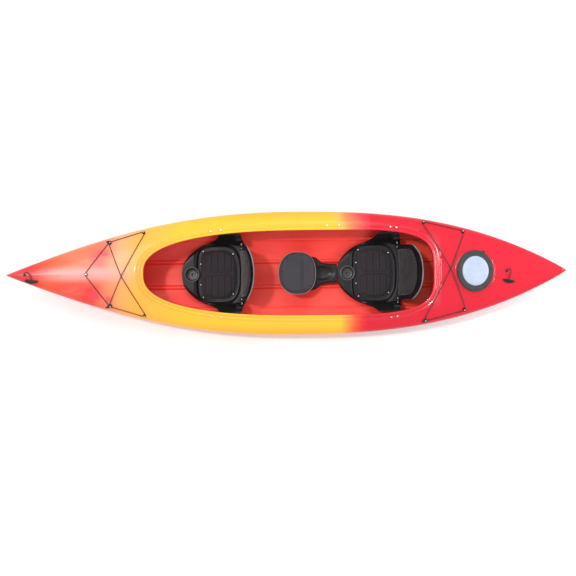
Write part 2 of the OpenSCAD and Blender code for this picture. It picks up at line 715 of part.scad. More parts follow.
// Straps of aluminium that hang each wing from the coaming's bolts. The tab, at station tab_x,
// stands just outside the wing's edge.
bracket_drop = 19;
module seat_brackets(xs, tab_x) {
    mid = (xs[0] + xs[1]) / 2;
    span = abs(xs[0] - xs[1]) + 30;
    // The strap leaves the plate between its bolts, or behind the rear one.
    between = tab_x > mid - span / 2;
    near = between ? mid : xs[1];
    root = between ? [-13, 26] : [-15, 8];
    color(steel) for (side = [-1, 1]) difference() {
        union() {
            coaming_bolt_place(mid, side, -bracket_drop) translate([-span / 2, -12, 0])
                cube([span, 24, 3]);
            hull() {
                coaming_bolt_place(near, side, -bracket_drop)
                    translate([root[0], side < 0 ? 4 : -11, 0.5]) cube([root[1], 7, 2]);
                translate([tab_x - 12, side * 295.2 - 1.4, 226]) cube([24, 2.8, 20]);
            }
        }
        for (x = xs) coaming_bolt_place(x, side, -bracket_drop)
            translate([0, 0, -10]) cylinder(r = 3.4, h = 30, $fn = 32);
    }
}

module coaming_bolts(xs) {
    color(steel) for (x = xs, side = [-1, 1]) coaming_bolt_place(x, side) {
        translate([0, 0, 9.6]) cylinder(r1 = 7.5, r2 = 5, h = 3.4, $fn = 32);
        translate([0, 0, -28]) cylinder(r = 3, h = 38, $fn = 32);
        translate([0, 0, -bracket_drop - 5.5]) cylinder(r = 5.5, h = 5, $fn = 6);
    }
}

// Backrest in its own frame: hinge at the origin, rising along Z.
back_zs = [1, 0.96, 0.9, 0.82, 0.74, 0.6, 0.45, 0.3, 0.15, 0.05, -0.02, -0.05];
back_vs = [-1, -0.93, -0.8, -0.6, -0.35, -0.12, 0.12, 0.35, 0.6, 0.8, 0.93, 1];
back_h = 300;
// Half width at share t of the height, and the height itself at share v of the half width: the
// top edge is arched, and its corners are round.
function back_w(t) = 206 - 8 * smooth(t) - 22 * pow(max(0, (t - 0.8) / 0.2), 2)
    - 10 * pow(max(0, -t / 0.05), 2);
function back_z(t, v) = t * (back_h - 50 * pow(abs(v), 3.5));
// The back is scooped, more at the top than at the hinge.
function back_x(t, v) = -6 - (10 + 22 * smooth(t)) * (1 - v * v) + 8 * sin(t * 180);
function back_point(t, v, inset = 0) =
    [back_x(t, v), v * (back_w(t) - inset), back_z(t, v)];

module backrest(x, lean) {
    translate([x + hinge_x, 0, hinge_z]) rotate([0, -lean, 0]) children();
}

module backrest_frame(x, lean) {
    front = [for (t = back_zs) [for (v = back_vs) back_point(t, v)]];
    rear = [for (row = front) [for (p = row) p - [5, 0, 0]]];
    color(black) backrest(x, lean) difference() {
        union() {
            sheet(front, rear);
            for (side = [-1, 1]) translate([-3, side * trunnion_y, 0]) rotate([90, 0, 0])
                cylinder(r = 14, h = 17, center = true, $fn = 48);
        }
        for (side = [-1, 1]) translate([0, side * trunnion_y, 0]) rotate([90, 0, 0])
            cylinder(r = hinge_r + running, h = 50, center = true, $fn = 48);
    }
}

// Foam pad on the backrest, thickest at the small of the back.
module backrest_pad(x, lean) {
    ts = [0.93, 0.91, 0.85, 0.74, 0.6, 0.45, 0.3, 0.17, 0.06, 0.02, 0];
    function thick(t, v) =
        2 + (15 + 6 * sin(180 * min(1, t * 1.3))) * (1 - pow(abs(v), 8)) * (1 - pow(abs(t / 0.465 - 1), 10));
    back = [for (t = ts) [for (v = back_vs) back_point(t, v, 20) + [1.2, 0, 0]]];
    front = [for (i = [0 : len(ts) - 1]) [for (j = [0 : len(back_vs) - 1])
        back[i][j] + [thick(ts[i], back_vs[j]), 0, 0]]];
    color([0.17, 0.15, 0.15]) backrest(x, lean) sheet(front, back);
}

module backrest_bolts(x) {
    color(steel) for (side = [-1, 1])
        translate([x + hinge_x, side * (ear_y + ear_t / 2 + 0.3), hinge_z])
            rotate([side * 90, 0, 0]) {
                cylinder(r = hinge_r, h = 34, $fn = 48);
                translate([0, 0, -3.2]) cylinder(r = 8, h = 3.2, $fn = 48);
            }
}

// ---- foot braces ----

// The rail's frame: X along the rail, Y outward to the hull wall, Z up. The bosses behind the
// bolts stop just short of the wall.
boss_h = 6;
boss_r = 9;
module rail_frame(seat, side) {
    x = rail_x(seat);
    fore = hull_y(x + rail_bolt_gap / 2, rail_z - boss_r, wall);
    aft = hull_y(x - rail_bolt_gap / 2, rail_z - boss_r, wall);
    translate([x, side * ((fore + aft) / 2 - boss_h - 4), rail_z])
        rotate([0, 0, side * atan((fore - aft) / rail_bolt_gap)])
            mirror([0, side < 0 ? 1 : 0, 0])
                children();
}

rail_h = 26;
rail_t = 9;

module foot_rail(seat, side) {
    color(black) rail_frame(seat, side) difference() {
        union() {
            translate([-rail_length / 2, -rail_t, -rail_h / 2]) cube([rail_length, rail_t, rail_h]);
            for (e = [-1, 1]) translate([e * rail_bolt_gap / 2, 0, 0]) rotate([-90, 0, 0])
                cylinder(r = boss_r, h = boss_h, $fn = 32);
        }
        // The pedal's channel, and the notches that its pawl drops into.
        translate([-rail_length / 2 + 26, -rail_t - 1, -6]) cube([rail_length - 52, rail_t + 2, 12]);
        for (i = [-4 : 4]) translate([i * 25 - 4, -rail_t - 1, 5]) cube([8, 5, 5]);
        for (e = [-1, 1]) translate([e * rail_bolt_gap / 2, 0, 0]) rotate([90, 0, 0])
            cylinder(r = 3.3, h = 60, center = true, $fn = 32);
    }
}

module foot_pedal(seat, side) {
    color(grey) rail_frame(seat, side) {
        // Slider in the channel, carriage in front of it, and the foot plate.
        translate([-20, -rail_t - 4, -5.5]) cube([40, 11, 11]);
        translate([-27, -rail_t - 13, -22]) cube([54, 12.4, 44]);
        translate([10, -rail_t - 92, -34]) cube([9, 84, 88]);
        translate([-14, -rail_t - 40, -4]) cube([30, 30, 8]);
    }
}

module foot_rail_bolts() {
    color(steel) for (seat = ["front", "rear"], side = [-1, 1], e = [-1, 1])
        rail_frame(seat, side) translate([e * rail_bolt_gap / 2, 0, 0]) rotate([-90, 0, 0]) {
            translate([0, 0, -rail_t - 3.4]) cylinder(r = 6, h = 3, $fn = 32);
            translate([0, 0, -rail_t - 1]) cylinder(r = 3, h = 42, $fn = 32);
        }
}

// ---- middle seat ----

jump_w = 160;
jump_l = 140;
jump_top = 172;

function jump_ring(k, z, n = 3.2, steps = 40) = [for (i = [0 : steps - 1])
    let(t = 360 * i / steps, c = cos(t), s = sin(t), r = pow(pow(abs(c), n) + pow(abs(s), n), -1 / n))
    [jump_l * k * r * c, jump_w * k * r * s, z]];

// One side of the tongue, from inside the pedestal's wall out to its root and back to its end.
tongue_side = [[-97, 50], [-90, 80], [-70, 104], [-78, 124], [-100, 130], [-147, 117], [-165, 98],
    [-185, 82], [-212, 74], [-300, 70]];

// A hollow pedestal under the cushion and a low tongue that reaches back to the rear seat.
module jump_seat_base() {
    steps = 40;
    outer = [jump_ring(0.84, 14), jump_ring(0.76, 60), jump_ring(0.72, 110), jump_ring(0.86, 150),
        jump_ring(0.97, jump_top - 2)];
    inner = [jump_ring(0.93, jump_top - 2), jump_ring(0.82, 146), jump_ring(0.68, 110),
        jump_ring(0.72, 60), jump_ring(0.8, 14)];
    rings = concat(outer, inner);
    n = len(rings);
    color(black) translate([jump_seat_x, 0, 0]) {
        polyhedron([for (r = rings) each r],
            [for (k = [0 : n - 1]) each band(k * steps, ((k + 1) % n) * steps, steps)]);
        translate([0, 0, 58]) linear_extrude(32) polygon(concat(tongue_side,
            [for (p = reversed(tongue_side)) [p.x, -p.y]]));
    }
}

module jump_seat_cushion() {
    steps = 40;
    rings = [jump_ring(0.9, 0), jump_ring(0.98, 2), jump_ring(1, 10), jump_ring(0.97, 20),
        jump_ring(0.9, 22)];
    color([0.20, 0.20, 0.22]) translate([jump_seat_x, 0, jump_top]) polyhedron(
        [for (r = rings) each r],
        concat([[for (i = [0 : steps - 1]) i]],
            [for (k = [0 : 3]) each band(k * steps, (k + 1) * steps, steps)],
            [[for (i = [steps - 1 : -1 : 0]) 4 * steps + i]]));
}

// ---- nodes ----

hull_shell();
bow_flotation_block();
stern_bulkhead();
hatch_ring();
hatch_gasket();
hatch_ring_screws();
hatch_lid();
hatch_lid_panel();
drain_plug_seat();
drain_plug();
drain_plug_washer();
rope_grommet(bow_rope_x);  // bow_rope_grommet
carry_rope(bow_rope_x, bow_rope_route);  // bow_carry_rope
toggle(bow_rope_x, bow_toggle_at, 96, -4, -30);  // bow_toggle
rope_grommet(stern_rope_x);  // stern_rope_grommet
carry_rope(stern_rope_x, stern_rope_route);  // stern_carry_rope
toggle(stern_rope_x, stern_toggle_at, 84, -10, -5);  // stern_toggle
deck_buttons(bow_buttons);  // bow_deck_buttons
button_screws(bow_buttons);  // bow_button_screws
bow_bungee();
deck_buttons(stern_buttons);  // stern_deck_buttons
button_screws(stern_buttons);  // stern_button_screws
stern_bungee();
foot_rail_bolts();
coaming_bolts(solo_xs);  // solo_position_bolts
jump_seat_base();
jump_seat_cushion();
for (seat = ["front", "rear"]) {
    x = seat == "front" ? front_seat_x : rear_seat_x;
    lean = seat == "front" ? front_lean : rear_lean;
    xs = seat == "front" ? front_bracket_xs : rear_bracket_xs;
    tab_x = x - (seat == "front" ? 246 : 336);
    seat_riser(x);
    seat_pan(x);
    seat_pad(x);
    pad_studs(x);
    cup_insert(x);
    seat_brackets(xs, tab_x);
    coaming_bolts(xs);
    backrest_frame(x, lean);
    backrest_pad(x, lean);
    backrest_bolts(x);
    for (side = [1, -1]) {
        name = side > 0 ? "port" : "starboard";
        foot_rail(seat, side);
        foot_pedal(seat, side);
    }
}
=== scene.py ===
"""Looks of the tandem kayak: hull, seats, pads, hatch, lines and fittings, lights and camera.

Lengths in the shape code are millimetres in the frame of the CAD model: X to the bow, Y to port,
Z up, origin under the middle of the keel. Meshes are turned into metres when they are made.
"""
import math

import bmesh
import bpy
import numpy as np
from mathutils import Matrix, Vector, noise


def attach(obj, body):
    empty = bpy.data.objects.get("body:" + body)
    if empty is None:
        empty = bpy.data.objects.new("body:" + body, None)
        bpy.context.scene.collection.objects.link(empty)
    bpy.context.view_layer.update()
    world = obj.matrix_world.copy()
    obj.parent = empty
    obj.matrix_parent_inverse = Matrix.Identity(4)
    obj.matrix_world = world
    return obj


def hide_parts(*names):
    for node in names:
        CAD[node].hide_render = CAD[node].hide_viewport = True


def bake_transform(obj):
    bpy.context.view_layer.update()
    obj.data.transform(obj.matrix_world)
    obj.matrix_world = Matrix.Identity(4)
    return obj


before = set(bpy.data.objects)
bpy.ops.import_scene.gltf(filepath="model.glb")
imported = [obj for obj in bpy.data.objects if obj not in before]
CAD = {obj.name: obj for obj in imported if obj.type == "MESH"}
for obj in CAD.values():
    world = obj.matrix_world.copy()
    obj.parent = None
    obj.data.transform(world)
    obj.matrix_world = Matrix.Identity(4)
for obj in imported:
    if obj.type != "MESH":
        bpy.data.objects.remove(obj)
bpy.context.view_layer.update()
# Metres in a millimetre.
MM = 0.001

# ---- driving dimensions, as in the CAD model ----

LENGTH, BEAM = 4110, 912
SHEER, CROWN, WALL = 205, 310, 6
MAX_BEAM_X = -25
BOW_LEN = LENGTH / 2 - MAX_BEAM_X
STERN_LEN = LENGTH / 2 + MAX_BEAM_X
BOW_RAKE, STERN_RAKE, TIP_SOLID = 260, 190, 32
COCKPIT_X, COCKPIT_LENGTH, COCKPIT_WIDTH, COAMING = -170, 2117, 626, 47
COCKPIT_FRONT = 1044 - COCKPIT_X
COCKPIT_REAR = COCKPIT_LENGTH - COCKPIT_FRONT
SEATS = {"front": (712, 12), "rear": (-457, 24)}
HINGE_X, HINGE_Z = -375, 124
JUMP_X, JUMP_TOP = -79, 172
HATCH_X, HATCH_A, HATCH_B, HATCH_Z = -1378, 132, 151, 322
ROPE_D, BUNGEE_D = 7, 6
# The carry rope at each end: where it leaves the deck, and its route from there.
CARRY_ROPES = {
    "bow": (1908, [(0, 0, -10), (0, 0, 5), (0, -4, 18), (-6, -14, 26), (-20, -20, 28),
                   (-34, -12, 27), (-42, 4, 21), (-47, 19, 14), (-48, 31, 8), (-47, 45, 0)]),
    "stern": (-1612, [(0, 0, -10), (0, 0, 5), (-2, -3, 17), (-9, -12, 24), (-19, -12, 26),
                      (-25, 2, 24), (-23, 22, 20), (-18, 42, 15), (-16, 55, 12), (-13, 71, 10)]),
}


# ---- shape of the boat ----

def smooth(t):
    c = np.clip(t, 0, 1)
    return c * c * (3 - 2 * c)


def mix(a, b, t):
    return a + (b - a) * t


def bell(x, width):
    """1 at 0, with soft sides that fall to about a third at width."""
    return np.exp(-(x / width) ** 2)


SIDES = ((-1, "starboard"), (1, "port"))


def around(count):
    """Angles evenly round a circle."""
    return 2 * math.pi * np.arange(count) / count


def rounded(c, s, power):
    """Radius of a round-cornered outline of unit half width, in the direction (c, s)."""
    return (np.abs(c) ** power + np.abs(s) ** power) ** (-1 / power)


def end_share(x):
    return np.minimum(1, np.where(x > MAX_BEAM_X, (x - MAX_BEAM_X) / BOW_LEN,
                                  (MAX_BEAM_X - x) / STERN_LEN))


def half_beam(x):
    u = end_share(x)
    bow = x > MAX_BEAM_X
    power = np.where(bow, 2.08 - 0.28 * u * u, 2.66)
    blunt = np.where(bow, 3, 8)
    return (BEAM / 2 - blunt) * (1 - u ** power) + blunt * np.sqrt(np.maximum(0, 1 - u ** 60))


def sheer_z(x):
    return SHEER + np.where(x > MAX_BEAM_X, 113, 80) * end_share(x) ** 2.2


def keel_z(x):
    rise = np.maximum(0, (end_share(x) - 0.35) / 0.65)
    return np.where(x > MAX_BEAM_X, 75, 70) * rise ** 2.4


def crown_z(x):
    u = end_share(x)
    tail = np.maximum(0, (u - 0.5) / 0.5)
    bow = 42 * smooth(2 * u) - 7 * tail ** 2
    stern = 12 * smooth(2 * u) - 22 * tail ** 1.5
    return CROWN + np.where(x > MAX_BEAM_X, bow, stern)


def deck_z(x, y, inset=0):
    x, y = np.asarray(x, float), np.asarray(y, float)
    u = end_share(x)
    bow = x > MAX_BEAM_X
    b = half_beam(x) - inset
    r = np.where(b < 0.01, 0, np.minimum(1, np.abs(y) / np.maximum(b, 0.01)))
    power = np.where(bow, 2 - 0.5 * u * u, 2 + 0.6 * u)
    root = np.where(bow, 0.5 + 0.12 * u * u, 0.5)
    return mix(sheer_z(x), crown_z(x) - inset, (1 - r ** power) ** root)


def deck_normal(x, y):
    e = 4
    n = Vector((float(deck_z(x - e, y) - deck_z(x + e, y)),
                float(deck_z(x, y - e) - deck_z(x, y + e)), 2 * e))
    return n.normalized()


def hull_point(x, side, angle, inset=0, narrow=1):
    """Points below the widest line: angle 0 is at that line, 90 degrees at the keel."""
    u = end_share(x)
    bow = x > MAX_BEAM_X
    n = np.where(bow, 2.2 - 0.9 * u ** 1.5, 2.2 - 0.7 * u * u)
    down = np.sin(angle) ** (2 / n)
    z = sheer_z(x) - (sheer_z(x) - keel_z(x) - inset) * down - 2 * down
    rake = np.where(bow, BOW_RAKE, -STERN_RAKE)
    y = side * narrow * np.maximum(0, half_beam(x) - inset) * np.cos(angle) ** (2 / n)
    return np.stack([x - rake * u ** 6 * down ** 1.6, y, np.maximum(inset, z)], -1)


def sheer_x(a, inset=0):
    c = np.cos(a)
    return MAX_BEAM_X + c * (np.where(c >= 0, BOW_LEN, STERN_LEN) - (TIP_SOLID if inset else 0))


def cockpit_point(a, d):
    c, s = np.cos(a), np.sin(a)
    r = rounded(c, s, np.where(c >= 0, 2.55, 4))
    x = COCKPIT_X + np.where(c >= 0, COCKPIT_FRONT + d, COCKPIT_REAR + 1.2 * d) * r * c
    return x, (COCKPIT_WIDTH / 2 + d) * r * s


def side_of(a):
    return np.where(np.abs(np.sin(a)) < 1e-6, 0, np.sign(np.sin(a)))


def blunt_end(a, inset):
    return np.sqrt(1 - np.abs(np.cos(a)) ** 40) if inset else 1


def hull_loop(a, angle, inset=0):
    return hull_point(sheer_x(a, inset), side_of(a), angle, inset, blunt_end(a, inset))


def deck_loop(a, t, inset=0):
    x0 = sheer_x(a, inset)
    y0 = side_of(a) * np.maximum(0, half_beam(x0) - inset) * blunt_end(a, inset)
    cx, cy = cockpit_point(a, COAMING)
    x, y = mix(x0, cx, t), mix(y0, cy, t)
    return np.stack([x, y, deck_z(x, y, inset)], -1)


def coaming_loop(a, d, dz):
    x, y = cockpit_point(a, d)
    return np.stack([x, y, deck_z(x, y) + dz], -1)


def curve(points, steps):
    """A smooth curve through points, with steps pieces between each pair."""
    p = [np.array(q, float) for q in points]
    out = []
    for i in range(len(p) - 1):
        a, b, c, d = p[max(0, i - 1)], p[i], p[i + 1], p[min(len(p) - 1, i + 2)]
        for k in range(steps):
            t = k / steps
            out.append(0.5 * (2 * b + (c - a) * t + (2 * a - 5 * b + 4 * c - d) * t * t
                              + (3 * b - a - 3 * c + d) * t ** 3))
    return np.array(out + [p[-1]])


# ---- mesh helpers ----

def added(name, data):
    """A new object in the scene."""
    obj = bpy.data.objects.new(name, data)
    bpy.context.scene.collection.objects.link(obj)
    return obj


def piece(name, points, faces, materials, body, which=None):
    """A smooth-shaded mesh from points in millimetres, riding on a CAD body."""
    mesh = bpy.data.meshes.new(name)
    mesh.from_pydata((np.asarray(points, float) * MM).tolist(), [], faces)
    for m in materials if isinstance(materials, (list, tuple)) else [materials]:
        mesh.materials.append(m)
    if which is not None:
        mesh.polygons.foreach_set("material_index", np.asarray(which, np.int32))
    mesh.polygons.foreach_set("use_smooth", [True] * len(mesh.polygons))
    obj = added(name, mesh)
    weld(mesh)
    if body:
        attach(obj, body)
    return obj


def weld(mesh, distance=0.02):
    work = bmesh.new()
    work.from_mesh(mesh)
    bmesh.ops.remove_doubles(work, verts=work.verts, dist=distance * MM)
    bmesh.ops.dissolve_degenerate(work, edges=work.edges, dist=0.5 * distance * MM)
    work.to_mesh(mesh)
    work.free()
    mesh.update()


def grid_faces(rows, cols, round_cols=False, round_rows=False, start=0, flip=False):
    """Quads of a grid of points. Each runs along the columns first, then up the rows."""
    faces = []
    for i in range(rows if round_rows else rows - 1):
        for j in range(cols if round_cols else cols - 1):
            a, b = i * cols + j, i * cols + (j + 1) % cols
            c = (i + 1) % rows * cols
            quad = (a, b, c + (j + 1) % cols, c + j)
            faces.append(tuple(start + k for k in (quad[::-1] if flip else quad)))
    return faces


def lofted(name, rings, materials, body, caps=True):
    """A skin over rings of points, each running anticlockwise seen from the last ring's side."""
    rings = np.asarray(rings, float)
    n, m = rings.shape[:2]
    faces = grid_faces(n, m, round_cols=True)
    if caps:
        faces.append(tuple(range(m))[::-1])
        faces.append(tuple((n - 1) * m + j for j in range(m)))
    return piece(name, rings.reshape(-1, 3), faces, materials, body)


def slab(name, top, bottom, materials, body):
    """A closed solid between two grids of points. Columns by rows gives the top's outward side."""
    top, bottom = np.asarray(top, float), np.asarray(bottom, float)
    rows, cols = top.shape[:2]
    half = rows * cols
    faces = grid_faces(rows, cols) + grid_faces(rows, cols, start=half, flip=True)
    rim = ([j for j in range(cols - 1)] + [i * cols + cols - 1 for i in range(rows - 1)]
           + [(rows - 1) * cols + j for j in range(cols - 1, 0, -1)]
           + [i * cols for i in range(rows - 1, 0, -1)])
    for k, p in enumerate(rim):
        q = rim[(k + 1) % len(rim)]
        faces.append((q, p, half + p, half + q))
    points = np.concatenate([top.reshape(-1, 3), bottom.reshape(-1, 3)])
    return piece(name, points, faces, materials, body)


def tube(name, path, radius, materials, body, sides=12, twist=0.0, lobes=0, lobe=0.0):
    """A cord swept along path. lobes and twist give it laid strands."""
    path = np.asarray(path, float)
    last = len(path) - 1
    rings = []
    side = None
    for i in range(last + 1):
        t = path[min(last, i + 1)] - path[max(0, i - 1)]
        f = t / np.linalg.norm(t)
        if side is None:
            s = np.cross(f, (0, 0, 1))
            side = s / np.linalg.norm(s) if np.linalg.norm(s) > 0.05 else np.array([0, 1.0, 0])
        side = side - f * side.dot(f)
        side /= np.linalg.norm(side)
        up = np.cross(side, f)
        a = around(sides)
        r = radius * (1 + lobe * (np.cos(lobes * (a + twist * i)) - 1) / 2)
        rings.append(path[i] + np.outer(r * np.cos(a), side) + np.outer(r * np.sin(a), up))
    rings = np.array(rings)[:, ::-1]
    return lofted(name, rings, materials, body)


def cut(obj, cutter):
    """Takes the cutter's volume out of obj, then removes the cutter."""
    modifier = obj.modifiers.new("cut", "BOOLEAN")
    modifier.operation = "DIFFERENCE"
    modifier.solver = "EXACT"
    modifier.object = cutter
    apply_modifiers(obj)
    bpy.data.objects.remove(cutter)


def apply_modifiers(obj):
    bpy.context.view_layer.update()
    depsgraph = bpy.context.evaluated_depsgraph_get()
    mesh = bpy.data.meshes.new_from_object(obj.evaluated_get(depsgraph), depsgraph=depsgraph)
    obj.modifiers.clear()
    obj.data = mesh
    mesh.polygons.foreach_set("use_smooth", [True] * len(mesh.polygons))


def prism(outline, z0, z1):
    """A plain cutter: an outline of (x, y) points pulled from z0 to z1."""
    outline = np.asarray(outline, float)
    rings = [np.column_stack([outline, np.full(len(outline), z)]) for z in (z0, z1)]
    return lofted("cutter", rings, [], None)


def oval(a, b, count=128, cx=0.0, cy=0.0):
    t = around(count)
    return np.column_stack([cx + a * np.cos(t), cy + b * np.sin(t)])


def level_oval(a, b, z, count, cx, cy=0.0):
    """An oval of points, all at height z."""
    return np.column_stack([oval(a, b, count, cx, cy), np.full(count, z)])


def points_of(obj):
    co = np.empty(len(obj.data.vertices) * 3)
    obj.data.vertices.foreach_get("co", co)
    return co.reshape(-1, 3) / MM


def set_points(obj, points):
    obj.data.vertices.foreach_set("co", (points * MM).ravel())
    obj.data.update()


# ---- materials ----

def rgb(r, g, b):
    """A display colour from 0 to 255 as the linear colour that shaders take."""
    return tuple(((c / 255 + 0.055) / 1.055) ** 2.4 if c > 10 else c / 3294.6
                 for c in (r, g, b)) + (1.0,)


class Finish:
    """A Principled material and short calls for the nodes that feed it."""

    def __init__(self, name, roughness=0.5, metallic=0.0, **sockets):
        self.mat = bpy.data.materials.new(name)
        self.mat.use_nodes = True
        self.tree = self.mat.node_tree
        self.shader = self.tree.nodes["Principled BSDF"]
        self.set("Roughness", roughness)
        self.set("Metallic", metallic)
        for socket, value in sockets.items():
            self.set(socket.replace("_", " "), value)
        self.place = self.add("ShaderNodeTexCoord").outputs["Object"]

    def add(self, kind, inputs=None, **settings):
        """A node with its settings made, and values or outputs fed to its inputs."""
        node = self.tree.nodes.new(kind)
        for key, value in settings.items():
            setattr(node, key, value)
        for socket, value in (inputs or {}).items():
            self.feed(node.inputs[socket], value)
        return node

    def set(self, socket, value):
        self.shader.inputs[socket].default_value = value

    def join(self, output, socket):
        self.tree.links.new(output, socket)

    def feed(self, socket, value):
        if isinstance(value, bpy.types.NodeSocket):
            self.join(value, socket)
        else:
            socket.default_value = value

    def stretched(self, x, y, z):
        inputs = {"Scale": (x, y, z), "Vector": self.place}
        return self.add("ShaderNodeMapping", inputs).outputs["Vector"]

    def noise(self, scale, detail=2.0, roughness=0.5, vector=None, distortion=0.0):
        inputs = {"Scale": scale, "Detail": detail, "Roughness": roughness,
                  "Distortion": distortion, "Vector": vector or self.place}
        return self.add("ShaderNodeTexNoise", inputs).outputs[0]

    def wave(self, scale, direction="X", distortion=0.0, vector=None):
        inputs = {"Scale": scale, "Distortion": distortion, "Vector": vector or self.place}
        return self.add("ShaderNodeTexWave", inputs, bands_direction=direction).outputs["Fac"]

    def cells(self, scale):
        inputs = {"Scale": scale, "Vector": self.place}
        return self.add("ShaderNodeTexVoronoi", inputs).outputs["Distance"]

    def split(self):
        return self.add("ShaderNodeSeparateXYZ", {0: self.place}).outputs

    def math(self, operation, a, b=0.0, c=0.0):
        return self.add("ShaderNodeMath", {0: a, 1: b, 2: c}, operation=operation).outputs[0]

    def band(self, value, low, high, to_low=0.0, to_high=1.0, smooth_step=False):
        """Takes low..high to to_low..to_high, and holds the ends beyond."""
        inputs = dict(enumerate((value, low, high, to_low, to_high)))
        kind = "SMOOTHSTEP" if smooth_step else "LINEAR"
        return self.add("ShaderNodeMapRange", inputs, interpolation_type=kind).outputs[0]

    def ramp(self, fac, stops):
        node = self.add("ShaderNodeValToRGB")
        elements = node.color_ramp.elements
        while len(elements) < len(stops):
            elements.new(0.5)
        for element, (at, colour) in zip(elements, sorted(stops)):
            element.position = at
            element.color = colour
        self.join(fac, node.inputs[0])
        return node.outputs[0]

    def blend(self, fac, a, b, how="MIX"):
        inputs = {0: fac, 6: a, 7: b}
        return self.add("ShaderNodeMix", inputs, data_type="RGBA", blend_type=how).outputs[2]

    def grey(self, value):
        node = self.add("ShaderNodeCombineColor")
        for socket in node.inputs:
            self.join(value, socket)
        return node.outputs[0]

    def distance(self, point):
        inputs = {0: self.place, 1: point}
        return self.add("ShaderNodeVectorMath", inputs, operation="DISTANCE").outputs["Value"]

    def colour(self, value):
        self.feed(self.shader.inputs["Base Color"], value)

    def rough(self, value, low, high):
        self.join(self.band(value, 0.3, 0.7, low, high), self.shader.inputs["Roughness"])

    def bump(self, *layers):
        """Layers of (height output, strength, depth in metres)."""
        below = None
        for height, strength, depth in layers:
            inputs = {"Strength": strength, "Distance": depth, "Height": height}
            if below is not None:
                inputs["Normal"] = below
            below = self.add("ShaderNodeBump", inputs).outputs["Normal"]
        self.join(below, self.shader.inputs["Normal"])


YELLOW, RED = rgb(246, 178, 40), rgb(197, 4, 37)
# Colours along each side of the boat, by place in metres.
STARBOARD_STOPS = [(-2.055, RED), (-0.62, RED), (-0.55, rgb(219, 62, 62)), (-0.50, rgb(222, 96, 70)),
                   (-0.45, rgb(228, 126, 72)), (-0.40, rgb(244, 170, 74)), (-0.34, YELLOW),
                   (0.75, YELLOW), (1.08, rgb(238, 164, 66)), (1.22, rgb(238, 158, 112)),
                   (1.34, rgb(234, 114, 92)), (1.50, rgb(230, 112, 78)),
                   (1.66, rgb(224, 96, 60)), (1.78, rgb(216, 76, 44)), (1.88, rgb(200, 24, 28)),
                   (2.055, rgb(190, 10, 24))]
PORT_STOPS = [(-2.055, RED), (-0.60, RED), (-0.55, rgb(218, 34, 36)), (-0.50, rgb(226, 82, 46)),
              (-0.45, rgb(236, 138, 48)), (-0.40, YELLOW), (0.75, YELLOW),
              (1.08, rgb(244, 164, 58)), (1.22, rgb(240, 154, 84)), (1.32, rgb(232, 120, 82)),
              (1.42, rgb(218, 54, 44)), (1.60, rgb(216, 52, 36)), (1.76, rgb(222, 78, 44)),
              (1.88, rgb(200, 22, 22)), (2.055, rgb(190, 8, 20))]


def hull_paint():
    """Powder colours that ran together in the mould, along the boat, with painted shade deeper down the sides
    and a painted highlight along the bow's ridge.
    """
    f = Finish("shell_deck", Specular_IOR_Level=0.28, Coat_Roughness=0.1, Coat_IOR=1.6)
    x, y, z = f.split()
    drift = f.band(f.noise(2.6, 3, 0.6, f.stretched(1, 1.8, 1)), 0, 1, -0.04, 0.04)
    streak = f.band(f.noise(16, 4, 0.65, f.stretched(0.35, 1.6, 1)), 0, 1, -0.025, 0.025)
    along = f.math("ADD", f.math("ADD", x, drift), streak)
    share = f.band(along, -LENGTH * MM / 2, LENGTH * MM / 2)
    sides = [f.ramp(share, [(at * 1000 / LENGTH + 0.5, colour) for at, colour in stops])
             for stops in (STARBOARD_STOPS, PORT_STOPS)]
    base = f.blend(f.band(y, -0.03, 0.11, smooth_step=True), *sides)
    # Painted highlight in pale pink along the ridge of the bow; cloudy pink patches of the moulding's own
    # colour beside it.
    cloud = f.band(f.noise(7, 5, 0.62, f.stretched(0.55, 1, 1), 0.6), 0.40, 0.66)
    ridge = f.band(f.math("ABSOLUTE", y), 0.075, 0.01, 0, 0.7, True)
    ridge = f.math("MULTIPLY", ridge, f.band(x, 1.05, 1.36, smooth_step=True))
    ridge = f.math("MULTIPLY", ridge, f.band(x, 1.58, 1.86, 1, 0.15, True))
    base = f.blend(ridge, base, rgb(236, 160, 158))
    patch = f.math("MULTIPLY", cloud, f.band(x, 1.12, 1.42, 0, 0.3, True))
    patch = f.math("MULTIPLY", patch, f.band(x, 1.55, 1.8, 1, 0.1, True))
    base = f.blend(patch, base, rgb(238, 138, 118))
    for at, size in (((1.36, -0.135, 0.34), 0.105), ((1.41, 0.155, 0.33), 0.07),
                     ((1.30, 0.19, 0.33), 0.045)):
        blot = f.band(f.distance(at), size, 0.25 * size, 0, 0.9, True)
        base = f.blend(f.math("MULTIPLY", blot, f.band(cloud, 0, 0.5, 0.35, 1)), base,
                       rgb(218, 52, 78))
    # Painted shade: the colour deepens towards orange low on the sides, which turn away from the light.
    low = f.math("MULTIPLY", f.band(z, 0.27, 0.18), 0.5)
    base = f.blend(low, base, rgb(236, 96, 30), "MULTIPLY")
    speck = f.band(f.noise(420, 2), 0.35, 0.65, 0.97, 1.03)
    f.colour(f.blend(1.0, base, f.grey(speck), "MULTIPLY"))
    scuff = f.noise(38, 5, 0.7, f.stretched(0.4, 1, 1))
    f.rough(scuff, 0.24, 0.38)
    # The coat is glossier on the aft turn of the coaming, where the strip light shows in it.
    aft_turn = f.math("MULTIPLY", f.band(x, -1.145, -1.10, smooth_step=True),
                      f.band(x, -1.04, -1.02, 1, 0, True))
    across = f.band(f.math("ABSOLUTE", y), 0.30, 0.2, smooth_step=True)
    glossy = f.math("MULTIPLY", aft_turn, across)
    f.feed(f.shader.inputs["Coat Weight"], f.band(glossy, 0, 1, 0.3, 1))
    f.bump((f.noise(340, 3), 0.25, 0.0003), (f.noise(9, 2), 0.12, 0.002))
    return f.mat


